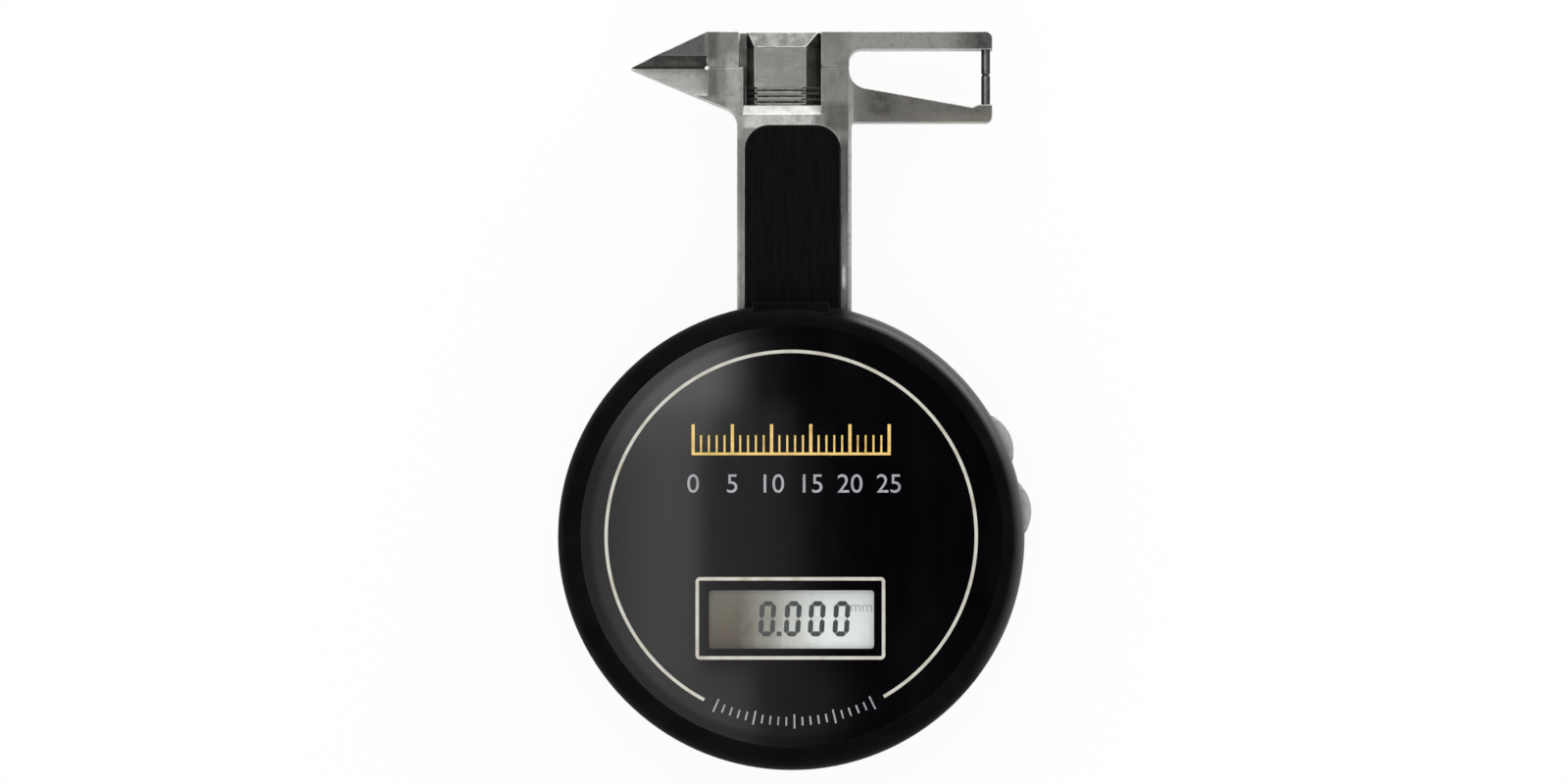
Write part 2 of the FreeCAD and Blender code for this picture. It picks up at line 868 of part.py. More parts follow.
def rack_corners():
    """Right edge of the bar's rack from its lower end up, as (x, y) corners."""
    pitch = math.pi * gear_module
    slope = math.tan(math.radians(pressure_angle))
    half = pitch / 4 - tooth_backlash / 4
    root_x = pitch_line_x - dedendum
    root_half = half + slope * dedendum
    tip_half = half - slope * addendum
    first = math.ceil((rack_bottom_y - pinion_y) / pitch)
    last = math.floor((rack_top_y - pinion_y) / pitch)
    corners = []
    for number in range(first, last + 1):
        middle = pinion_y + number * pitch
        corners.append((root_x, middle - root_half))
        corners.append((rack_tip_x, middle - tip_half))
        corners.append((rack_tip_x, middle + tip_half))
        corners.append((root_x, middle + root_half))
    return corners


def make_slide_bar():
    left = -channel_left + slide_clearance
    right = channel_right - slide_clearance
    root_x = pitch_line_x - dedendum
    corners = [(left, bar_end_y), (root_x, bar_end_y)]
    corners += rack_corners()
    corners += [
        (root_x, guide_start_y),
        (right, guide_start_y),
        (right, head_top_y),
        (left, head_top_y),
    ]
    bar = prism(corners, bar_bottom, bar_top)
    tongue_left = spring_centre_x - tongue_width / 2
    tongue = block(tongue_left, tongue_left + tongue_width, bar_end_y - tongue_length,
                   bar_end_y + spare, bar_bottom, tongue_top)
    bar = bar.fuse(tongue)
    hole = spring_post_radius + thread_clearance
    bar = bar.cut(post(spring_centre_x, spring_post_y, hole, bar_bottom - spare, bar_top + spare))
    grip_y = closing_y - bar_grip_drop
    flanks = (
        (left, bar_left_chamfer, grip_y, head_top_y + spare),
        (left, bar_left_chamfer + bar_grip_left_inset, chamfer_start_y, grip_y),
        (right, -bar_right_chamfer, grip_y, head_top_y + spare),
        (right, -bar_right_chamfer - bar_grip_right_inset, chamfer_start_y, grip_y),
    )
    for side_x, width, low, high in flanks:
        bar = bar.cut(prism_along_y([
            (side_x, bar_top - bar_chamfer_depth),
            (side_x + width, bar_top),
            (side_x + width, bar_top + spare),
            (side_x - width, bar_top + spare),
            (side_x - width, bar_top - bar_chamfer_depth),
        ], low, high))
    bar = bar.cut(prism_along_x([
        (head_top_y, bar_top - bar_end_bevel_depth),
        (head_top_y + spare, bar_top - bar_end_bevel_depth),
        (head_top_y + spare, bar_top + spare),
        (head_top_y - bar_end_bevel, bar_top + spare),
        (head_top_y - bar_end_bevel, bar_top),
    ], left - spare, right + spare))
    for number in range(groove_count):
        middle = closing_y - groove_drop - number * groove_pitch
        low = middle - groove_width / 2
        bar = bar.cut(block(left - spare, right + spare, low, low + groove_width, bar_top - groove_depth,
                            bar_top + spare))
    slot_half = stop_pin_radius + 2 * slide_clearance
    slot_top = stop_pin_y + stop_pin_radius + stop_overtravel
    slot_bottom = stop_pin_y - travel - stop_pin_radius - stop_overtravel
    bar = bar.cut(block(stop_pin_x - slot_half, stop_pin_x + slot_half, slot_bottom, slot_top,
                        bar_bottom - spare, bar_top + spare, slot_half * slot_round_share))
    for x, y in jaw_screw_places():
        hole = small_screw_radius + thread_clearance
        bar = bar.cut(post(x, y, hole, bar_bottom - spare,
                           bar_bottom + jaw_screw_depth + pilot_tip_gap / 2))
    return bar


def make_stop_pin():
    return post(stop_pin_x, stop_pin_y, stop_pin_radius, plate_top, bar_top - slide_clearance)


def make_mechanism_plate():
    plate = block(-plate_left, plate_right, plate_bottom_y, plate_top_y, plate_bottom, plate_top,
                  plate_corner_radius)
    plate = plate.common(post(0, 0, case_inner_radius - plate_rim_gap, plate_bottom, plate_top))
    plate = plate.cut(post(cell_x, cell_y, pocket_outer_radius + boss_clearance, plate_bottom - spare,
                           plate_top + spare))
    for x, y in case_screw_places():
        plate = plate.cut(post(x, y, rear_boss_radius + boss_clearance, plate_bottom - spare,
                               plate_top + spare))
    for x, y in plate_screw_places():
        plate = plate.cut(post(x, y, small_screw_radius + screw_hole_clearance, plate_bottom - spare,
                               plate_top + spare))
    for x, y in stem_screw_places():
        plate = plate.cut(post(x, y, screw_radius + screw_hole_clearance, plate_bottom - spare,
                               plate_top + spare))
    for x, y in pillar_places():
        plate = plate.cut(post(x, y, small_screw_radius + thread_clearance, plate_bottom - spare,
                               plate_top + spare))
    return plate.cut(post(pinion_x, pinion_y, bush_radius, plate_bottom - spare, plate_top + spare))


def make_plate_screws():
    screws = []
    for x, y in plate_screw_places():
        screws.append(screw(x, y, plate_top + screw_head_height, plate_top, pilot_floor + pilot_tip_gap,
                            small_screw_radius, small_head_radius))
    return Part.makeCompound(screws)


def make_stem_screws():
    screws = []
    for x, y in stem_screw_places():
        screws.append(screw(x, y, plate_bottom - screw_head_height, plate_bottom,
                            bar_seat - stem_screw_floor - pilot_tip_gap / 2,
                            screw_radius, screw_head_radius))
    return Part.makeCompound(screws)


def make_case_screws():
    screws = []
    for x, y in case_screw_places():
        seat = case_screw_recess
        screws.append(screw(x, y, seat - case_screw_head_height, seat, case_screw_depth, screw_radius,
                            case_screw_head_radius))
    return Part.makeCompound(screws)


def bush(flange_low, flange_high, low, high):
    body = post(pinion_x, pinion_y, bush_radius, low, high)
    body = body.fuse(post(pinion_x, pinion_y, bush_flange_radius, flange_low, flange_high))
    bore = post(pinion_x, pinion_y, shaft_radius + running_clearance, low - overshoot, high + overshoot)
    return body.cut(bore).removeSplitter()


def make_lower_bush():
    flange_low = plate_bottom - bush_flange_height
    return bush(flange_low, plate_bottom, flange_low, plate_top + bush_rise)


def make_upper_bush():
    flange_low = bridge_bottom - upper_flange_height
    return bush(flange_low, bridge_bottom, flange_low, bridge_top)


def make_bridge_pillars():
    pillars = []
    for x, y in pillar_places():
        pillar = post(x, y, pillar_radius, plate_top, bridge_bottom)
        hole = small_screw_radius + thread_clearance
        pillar = pillar.cut(post(x, y, hole, bridge_bottom - bridge_screw_depth - pilot_tip_gap,
                                 bridge_bottom + spare))
        spigot = post(x, y, small_screw_radius, plate_bottom + thread_clearance, plate_top)
        pillars.append(pillar.fuse(spigot).removeSplitter())
    return Part.makeCompound(pillars)


def bar_between(start, end, width, low, high):
    """Flat strip with round ends from one point to another."""
    length = math.hypot(end[0] - start[0], end[1] - start[1])
    angle = math.degrees(math.atan2(end[1] - start[1], end[0] - start[0]))
    strip = block(0, length, -width / 2, width / 2, low, high)
    strip = strip.fuse(post(0, 0, width / 2, low, high)).fuse(post(length, 0, width / 2, low, high))
    strip.rotate(FreeCAD.Vector(0, 0, 0), FreeCAD.Vector(0, 0, 1), angle)
    strip.translate(FreeCAD.Vector(start[0], start[1], 0))
    return strip


def make_pinion_bridge():
    middle = (pinion_x, pinion_y)
    first, second = pillar_places()
    bridge = bar_between(first, middle, bridge_plate_width, bridge_bottom, bridge_top)
    bridge = bridge.fuse(bar_between(middle, second, bridge_plate_width, bridge_bottom, bridge_top))
    for x, y in (first, second):
        hole = small_screw_radius + screw_hole_clearance
        bridge = bridge.cut(post(x, y, hole, bridge_bottom - spare, bridge_top + spare))
        head = small_head_radius + screw_hole_clearance
        bridge = bridge.cut(post(x, y, head, bridge_top - bridge_head_depth, bridge_top + spare))
    return bridge.cut(post(pinion_x, pinion_y, bush_radius, bridge_bottom - spare, bridge_top + spare))


def make_bridge_screws():
    screws = []
    for x, y in pillar_places():
        screws.append(screw(x, y, bridge_top, bridge_top - bridge_head_depth,
                            bridge_bottom - bridge_screw_depth,
                            small_screw_radius, small_head_radius))
    return Part.makeCompound(screws)


def tooth_half_angle(radius, base):
    """Half the angle that a pinion tooth fills at a radius."""
    at_pitch = math.pi / (2 * pinion_teeth) - tooth_backlash / (4 * pinion_radius)
    angle = math.radians(pressure_angle)
    spread = math.tan(angle) - angle
    local = math.acos(min(1.0, base / radius))
    return at_pitch + spread - (math.tan(local) - local)


def pinion_outline():
    base = pinion_radius * math.cos(math.radians(pressure_angle))
    tip = pinion_radius + addendum
    root = pinion_radius - dedendum
    flank = (base + tip) / 2
    pitch_angle = 2 * math.pi / pinion_teeth
    edges = []

    def place(radius, angle):
        return FreeCAD.Vector(radius * math.cos(angle), radius * math.sin(angle), 0)

    for number in range(pinion_teeth):
        middle = (number + 0.5) * pitch_angle
        foot = tooth_half_angle(base, base)
        waist = tooth_half_angle(flank, base)
        crest = tooth_half_angle(tip, base)
        rise = [place(base, middle - foot), place(flank, middle - waist), place(tip, middle - crest)]
        fall = [place(tip, middle + crest), place(flank, middle + waist), place(base, middle + foot)]
        next_foot = middle + pitch_angle - foot
        gap_middle = (middle + foot + next_foot) / 2
        edges.append(Part.LineSegment(place(root, middle - foot), rise[0]).toShape())
        edges.append(Part.Arc(*rise).toShape())
        edges.append(Part.Arc(rise[2], place(tip, middle), fall[0]).toShape())
        edges.append(Part.Arc(*fall).toShape())
        edges.append(Part.LineSegment(fall[2], place(root, middle + foot)).toShape())
        gap = Part.Arc(place(root, middle + foot), place(root, gap_middle), place(root, next_foot))
        edges.append(gap.toShape())
    return Part.Wire(edges)


def make_pinion():
    low = bar_bottom + pinion_clear
    high = bar_top - pinion_clear
    face = Part.Face(pinion_outline())
    face.translate(FreeCAD.Vector(pinion_x, pinion_y, low))
    gear = face.extrude(FreeCAD.Vector(0, 0, high - low))
    return gear.cut(post(pinion_x, pinion_y, shaft_radius, low - spare, high + spare))


def make_pinion_shaft():
    low = plate_bottom - bush_flange_height
    return post(pinion_x, pinion_y, shaft_radius, low, bridge_top)


def make_encoder_hub():
    low = bar_top - pinion_clear
    hub = post(pinion_x, pinion_y, hub_radius, low, disc_bottom)
    hub = hub.fuse(post(pinion_x, pinion_y, shaft_radius + hub_sleeve, disc_bottom, disc_top))
    return hub.cut(post(pinion_x, pinion_y, shaft_radius, low - spare, disc_top + spare)).removeSplitter()


def make_encoder_disc():
    disc = tube(pinion_x, pinion_y, disc_radius, shaft_radius + hub_sleeve, disc_bottom, disc_top)
    slits = []
    for number in range(slit_count):
        slit = block(slit_inner_radius, slit_outer_radius, -slit_width / 2, slit_width / 2,
                     disc_bottom - spare, disc_top + spare)
        slit = turned_to(slit, number * 360.0 / slit_count)
        slit.translate(FreeCAD.Vector(pinion_x, pinion_y, 0))
        slits.append(slit)
    return disc.cut(slits)


def make_read_head():
    """Fork that straddles the disc's rim and hangs from the board."""
    inner = pinion_x + pinion_radius + addendum + sensor_pinion_gap
    low = disc_bottom - sensor_slot_gap - sensor_prong
    body = block(inner, inner + sensor_length, pinion_y - sensor_width / 2, pinion_y + sensor_width / 2,
                 low, board_bottom, small_round)
    slot_end = pinion_x + disc_radius + sensor_slot_gap
    slot = block(inner - spare, slot_end, pinion_y - sensor_width, pinion_y + sensor_width,
                 disc_bottom - sensor_slot_gap, disc_top + sensor_slot_gap)
    return body.cut(slot)


def make_battery_cell():
    cell = post(cell_x, cell_y, cell_radius, cell_bottom, cell_top - cell_step_height)
    return cell.fuse(post(cell_x, cell_y, cell_radius - cell_step_width, cell_bottom,
                          cell_top)).removeSplitter()


def make_battery_leaf():
    """Spring strip from the cell's upper face to the board."""
    half = contact_width / 2
    low = cell_top + contact_lift
    high = low + contact_thickness
    leg_x = cell_x - pocket_inner_radius
    leaf = block(leg_x, cell_x + leaf_overlap, cell_y - half, cell_y + half, low, high)
    leaf = leaf.fuse(block(leg_x, leg_x + contact_thickness, cell_y - half, cell_y + half, low,
                           board_bottom))
    return leaf.fuse(post(cell_x, cell_y, dimple_radius, cell_top, low)).removeSplitter()


def make_battery_side_contact():
    low = cell_bottom + contact_lift
    y = cell_y + cell_radius
    return block(cell_x - contact_width / 2, cell_x + contact_width / 2, y, y + contact_thickness,
                 low, board_bottom)


def make_battery_door():
    radius = pocket_inner_radius - door_gap
    door = post(cell_x, cell_y, radius, door_recess, cell_bottom)
    low = back_thickness + slide_clearance
    for index in range(lug_count):
        middle = index * 360.0 / lug_count
        reach = pocket_inner_radius + lug_reach - door_gap
        door = door.fuse(sector(cell_x, cell_y, radius - spare, reach, middle, lug_angle, low,
                                low + lug_thickness))
    half_length = coin_slot_length / 2
    half_width = coin_slot_width / 2
    slot = block(cell_x - half_length, cell_x + half_length, cell_y - half_width, cell_y + half_width,
                 door_recess - spare, door_recess + coin_slot_depth, half_width * slot_round_share)
    return door.cut(slot)


def make_button(angle):
    half = button_length / 2
    low = button_z - button_height / 2
    high = button_z + button_height / 2
    corners = [
        (-half, low, button_corner_radius),
        (half, low, button_corner_radius),
        (half, high, button_corner_radius),
        (-half, high, button_corner_radius),
    ]
    reach = case_radius + button_reach
    cap = prism_along_x(corners, flange_outer, reach + overshoot)
    middle = FreeCAD.Vector(reach - button_crown_radius, 0, low)
    dome = Part.makeCylinder(button_crown_radius, button_height, middle)
    cap = cap.common(dome)
    flange = block(flange_inner, flange_outer, -flange_half, flange_half, low - flange_margin,
                   high + flange_margin)
    button = cap.fuse(flange).removeSplitter()
    return turned_to(button, angle)


def make_plunger(angle):
    start = FreeCAD.Vector(flange_inner - plunger_length, 0, button_z)
    stem = Part.makeCylinder(plunger_radius, plunger_length, start, FreeCAD.Vector(1, 0, 0))
    return turned_to(stem, angle)


def make_switch_bodies():
    bodies = []
    front = flange_inner - plunger_exposed
    half = switch_width / 2
    for angle in button_angles.values():
        body = block(front - switch_depth, front, -half, half, button_z - switch_drop, board_bottom,
                     small_round)
        bore_start = flange_inner - plunger_length - button_travel - piece_clearance
        start = FreeCAD.Vector(bore_start, 0, button_z)
        bore = Part.makeCylinder(plunger_radius + plunger_gap, overshoot, start, FreeCAD.Vector(1, 0, 0))
        bodies.append(turned_to(body.cut(bore), angle))
    return Part.makeCompound(bodies)


def eye(y):
    """Ring of wire round a spring post."""
    radius = spring_post_radius + spring_wire_radius + running_clearance
    return Part.makeTorus(radius, spring_wire_radius, FreeCAD.Vector(spring_centre_x, y, bar_middle))


def make_return_spring():
    """Closed coils drawn as one thin tube, with an eye at each end."""
    radius = spring_post_radius + spring_wire_radius + running_clearance
    top = spring_post_y - radius
    bottom = spring_anchor_y + radius
    along = FreeCAD.Vector(0, 1, 0)
    coil_low = spring_anchor_y + spring_boss_radius + spring_boss_gap
    coil_high = bar_end_y - tongue_length - spring_tongue_gap
    start = FreeCAD.Vector(spring_centre_x, coil_low, bar_middle)
    coils = Part.makeCylinder(spring_radius, coil_high - coil_low, start, along)
    inner_start = start + along * (2 * spring_wire_radius)
    inner = coil_high - coil_low - 4 * spring_wire_radius
    bore = Part.makeCylinder(spring_radius - 2 * spring_wire_radius, inner, inner_start, along)
    coils = coils.cut(bore)
    hooks = []
    for low, high in ((bottom, coil_low + spring_wire_radius), (coil_high - spring_wire_radius, top)):
        foot = FreeCAD.Vector(spring_centre_x, low, bar_middle)
        hooks.append(Part.makeCylinder(spring_wire_radius, high - low, foot, along))
    return coils.fuse(hooks + [eye(spring_anchor_y), eye(spring_post_y)]).removeSplitter()


def make_spring_post():
    return post(spring_centre_x, spring_post_y, spring_post_radius, bar_bottom, bar_top)


def make_spring_anchor():
    return post(spring_centre_x, spring_anchor_y, spring_post_radius, anchor_floor, bar_top)


def all_nodes():
    nodes = {
        "rear_case": make_rear_case(),
        "front_case": make_front_case(),
        "face_panel": make_face_panel(),
        "display_window": make_display_window(),
        "lcd_glass": make_lcd_glass(),
        "lcd_frame": make_lcd_frame(),
        "contact_strips": make_contact_strips(),
        "circuit_board": make_circuit_board(),
        "board_screws": make_board_screws(),
        "processor_chip": make_processor_chip(),
        "crystal": make_crystal(),
        "switch_bodies": make_switch_bodies(),
        "battery_cell": make_battery_cell(),
        "battery_leaf": make_battery_leaf(),
        "battery_side_contact": make_battery_side_contact(),
        "battery_door": make_battery_door(),
        "case_screws": make_case_screws(),
        "jaw_frame": make_jaw_frame(),
        "stem_cover": make_stem_cover(),
        "lower_pin": make_lower_pin(),
        "stem_screws": make_stem_screws(),
        "mechanism_plate": make_mechanism_plate(),
        "plate_screws": make_plate_screws(),
        "stop_pin": make_stop_pin(),
        "lower_bush": make_lower_bush(),
        "upper_bush": make_upper_bush(),
        "bridge_pillars": make_bridge_pillars(),
        "pinion_bridge": make_pinion_bridge(),
        "bridge_screws": make_bridge_screws(),
        "read_head": make_read_head(),
        "spring_anchor": make_spring_anchor(),
        "return_spring": make_return_spring(),
        "upper_jaw": make_upper_jaw(),
        "slide_bar": make_slide_bar(),
        "jaw_screws": make_jaw_screws(),
        "upper_pin": make_upper_pin(),
        "spring_post": make_spring_post(),
        "pinion": make_pinion(),
        "pinion_shaft": make_pinion_shaft(),
        "encoder_hub": make_encoder_hub(),
        "encoder_disc": make_encoder_disc(),
    }
    for name, angle in button_angles.items():
        nodes["button_" + name] = make_button(angle)
        nodes["plunger_" + name] = make_plunger(angle)
    return nodes


os.makedirs("parts", exist_ok=True)
for node_name, shape in all_nodes().items():
    solids = shape.Solids
    if not shape.isValid() or not solids:
        raise ValueError(node_name + " is not a valid solid")
    print(node_name, len(solids), round(shape.Volume, 3))
    shape.exportStep(os.path.join("parts", node_name + ".step"))
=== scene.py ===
import json
import math

import bmesh
import bpy
from mathutils import Matrix, Vector


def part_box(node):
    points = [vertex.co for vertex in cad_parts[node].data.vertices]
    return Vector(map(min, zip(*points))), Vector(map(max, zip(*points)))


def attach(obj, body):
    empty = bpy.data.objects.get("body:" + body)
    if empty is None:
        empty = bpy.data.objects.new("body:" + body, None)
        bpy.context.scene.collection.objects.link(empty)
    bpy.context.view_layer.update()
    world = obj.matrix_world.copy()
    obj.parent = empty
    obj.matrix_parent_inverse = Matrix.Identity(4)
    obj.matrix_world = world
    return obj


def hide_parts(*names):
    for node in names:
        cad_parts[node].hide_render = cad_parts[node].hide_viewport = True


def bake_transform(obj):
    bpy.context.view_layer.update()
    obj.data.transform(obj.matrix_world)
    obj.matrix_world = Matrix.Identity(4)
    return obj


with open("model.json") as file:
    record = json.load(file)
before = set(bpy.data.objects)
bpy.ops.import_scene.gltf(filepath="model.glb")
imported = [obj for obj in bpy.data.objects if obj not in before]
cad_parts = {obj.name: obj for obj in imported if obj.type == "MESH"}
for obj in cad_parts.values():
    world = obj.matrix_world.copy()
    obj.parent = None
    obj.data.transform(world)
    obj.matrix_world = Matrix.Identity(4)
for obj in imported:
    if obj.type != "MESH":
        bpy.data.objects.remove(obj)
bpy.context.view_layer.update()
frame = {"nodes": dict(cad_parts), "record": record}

# Hand gauge for cut stones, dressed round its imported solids. Metres, in the frame of the solids:
# the face looks along +Z, +Y runs up the stem and the origin is the centre of the round back.
MM = 0.001

# Printed ring, with the ends of its gap in degrees, and the display's printed border
print_height = 0.02 * MM
ring_radius = 23.6 * MM
ring_width = 0.42 * MM
ring_gap_start = 242.0
ring_gap_end = 300.0
ring_steps = 220
border_left = -12.2 * MM
border_right = 12.0 * MM
border_top = -5.2 * MM
border_bottom = -15.72 * MM
border_width = 0.44 * MM
border_corner = 0.6 * MM

# Scale across the face, of this length in millimetres, and the ticks along the ring's gap, which
# keep this margin in degrees from its ends
scale_length = 25.0
scale_y = 10.7 * MM
scale_numbers_y = 6.6 * MM
numbers_size = 3.4 * MM
numbered_step = 5
long_line = 3.6 * MM
long_line_half = 0.2 * MM
short_line = 2.2 * MM
short_line_half = 0.12 * MM
base_line_drop = 0.35 * MM
base_line_gap = 0.01 * MM
tick_count = 21
tick_margin = 4.0
tick_half = 0.11 * MM
long_tick = 0.9 * MM
short_tick = 0.55 * MM

# Display, with the left ends of its digits in millimetres
digit_boxes_left = (-4.24, -0.99, 2.07, 5.23)
digit_width = 2.1 * MM
digit_height = 4.5 * MM
digit_bottom_y = -12.75 * MM
digit_slant = 0.06
segment_width = 0.64 * MM
segment_gap = 0.03 * MM
point_x = -1.55 * MM
point_corner_share = 0.8
point_corner_steps = 4
unit_mark_x = 8.95 * MM
unit_mark_y = -9.0 * MM
unit_mark_size = 1.9 * MM

# Soft edges of the machined and moulded pieces, and the turn in degrees from which an edge is
# broken. Faces within flat_angle of each other are first joined to one.
edge_angle = 23.0
flat_angle = 0.3
merge_distance = 0.0005 * MM
edge_widths = {
    "rear_case": 0.12 * MM,
    "front_case": 0.12 * MM,
    "face_panel": 0.08 * MM,
    "display_window": 0.06 * MM,
    "jaw_frame": 0.10 * MM,
    "upper_jaw": 0.10 * MM,
    "slide_bar": 0.07 * MM,
    "stem_cover": 0.12 * MM,
    "battery_door": 0.12 * MM,
    "button_on_off": 0.09 * MM,
    "button_zero": 0.09 * MM,
    "case_screws": 0.05 * MM,
}

# Thumb-polished stretch of the rim: the way it faces, and the ends, in millimetres, between which
# it fades in along that way, outward, to the right and upward
thumb_direction = (0.64, 0.77)
thumb_reach = (1.0, 28.0)
thumb_radii = (28.3, 29.1)
thumb_right = (6.3, 9.5)
thumb_heights = (11.6, 12.8)

# Pale crown of the buttons, a painted highlight, and the rim of the face plate that is less
# polished, in the same way
crown_radii = (28.9, 30.3)
crown_heights = (9.2, 9.35)
panel_rim_radii = (25.1, 25.9)

# Near-black lines across the slide bar, painted shade in its cross grooves, their middles in
# millimetres up the stem
shaded_groove_middles = (57.2, 56.45, 55.7)
shaded_groove_half = 0.28

# Camera and frame of the photograph
photo_width = 1600
photo_height = 800
photo_scale = 0.125 * MM
ring_centre_px = (807.3, 547.3)
camera_distance = 2.0
camera_tilt = 1.5
camera_turn = -78.0
sensor_width = 36.0

# Overhead lamps, by where the polished face mirrors their left, right, lower and upper edges in
# millimetres, and how bright each is
overhead_height = 0.72
face_reflections = (
    (-240.0, -30.0, -240.0, 130.0, 1.15),
    (-30.0, -21.0, -240.0, -32.0, 1.15),
    (-21.0, 1.0, -240.0, -32.0, 1.65),
    (1.0, 7.5, -240.0, -32.0, 0.10),
    (-30.0, -24.0, -32.0, 12.0, 0.75),
    (-24.0, -21.0, -32.0, 12.0, 0.95),
    (-21.0, -17.5, -17.0, 12.0, 1.25),
    (-17.5, -11.7, -17.0, 12.0, 1.50),
    (-11.7, 0.3, -17.0, 12.0, 0.38),
    (0.3, 3.2, -17.0, 12.0, 0.14),
    (-21.0, -5.0, -32.0, -17.0, 1.15),
    (-5.0, 5.0, -32.0, -17.0, 0.27),
    (5.0, 8.0, -32.0, -17.0, 0.10),
    (-30.0, -9.5, 12.0, 16.8, 1.65),
    (-9.5, 0.3, 12.0, 16.8, 0.38),
    (-30.0, -8.0, 16.8, 30.0, 2.70),
    (-8.0, -6.0, 16.8, 30.0, 1.00),
    (-30.0, -21.0, 30.0, 130.0, 1.15),
    (-21.0, -10.3, 30.0, 130.0, 1.65),
    (-10.3, 0.0, 30.0, 130.0, 0.42),
    (0.0, 7.5, 30.0, 130.0, 0.10),
)

# Low lamp at the upper right, and a pale sky that is dark overhead and weaker to the sides. The
# sky's fades are by the height and the sideways part of a direction of length 1.
side_lamp_place = (0.42, 0.73, 0.20)
side_lamp_target = (0.0, 0.0, 0.01)
side_lamp_size = (1.1, 0.38)
side_lamp_radiance = 3.2
sky_strength = 1.25
sky_dark_heights = (0.88, 0.965)
sky_side_fade = (0.25, 0.85)
sky_side_share = 0.5

# Floor: its half length, its colour, and the share of plain white that the camera sees on it
floor_reach = 3.0
floor_grey = 0.92
floor_white_share = 0.935

# Return spring. Its wire is drawn a little thinner than the coil allows, to stay in the CAD box.
spring_wire = 0.2 * MM
spring_wire_share = 0.95
spring_wire_sides = 3
spring_coils = 20
spring_coil_steps = 20
spring_coil_gap = 1.9 * MM
spring_end_steps = 8
spring_eye_radius = 0.74 * MM
spring_eye_steps = 28
spring_eye_arc = 350.0

# Processor legs of one side, how far they reach out, their thickness and half width, and how far
# their feet stop below the top of the chip
leg_count = 10
leg_reach = 0.9 * MM
leg_thickness = 0.12 * MM
leg_half = 0.11 * MM
leg_sink = 0.02 * MM

# Small parts of the board: length, width and height of one, and its two soldered caps
small_part_size = (1.6 * MM, 0.8 * MM, 0.45 * MM)
small_part_columns = [(-11.0 + 5.2 * column) * MM for column in range(5)]
small_part_rows = [(3.5 + 4.6 * row) * MM for row in range(3)]
cap_half = 0.2 * MM
cap_width_share = 0.53
cap_height_share = 1.04


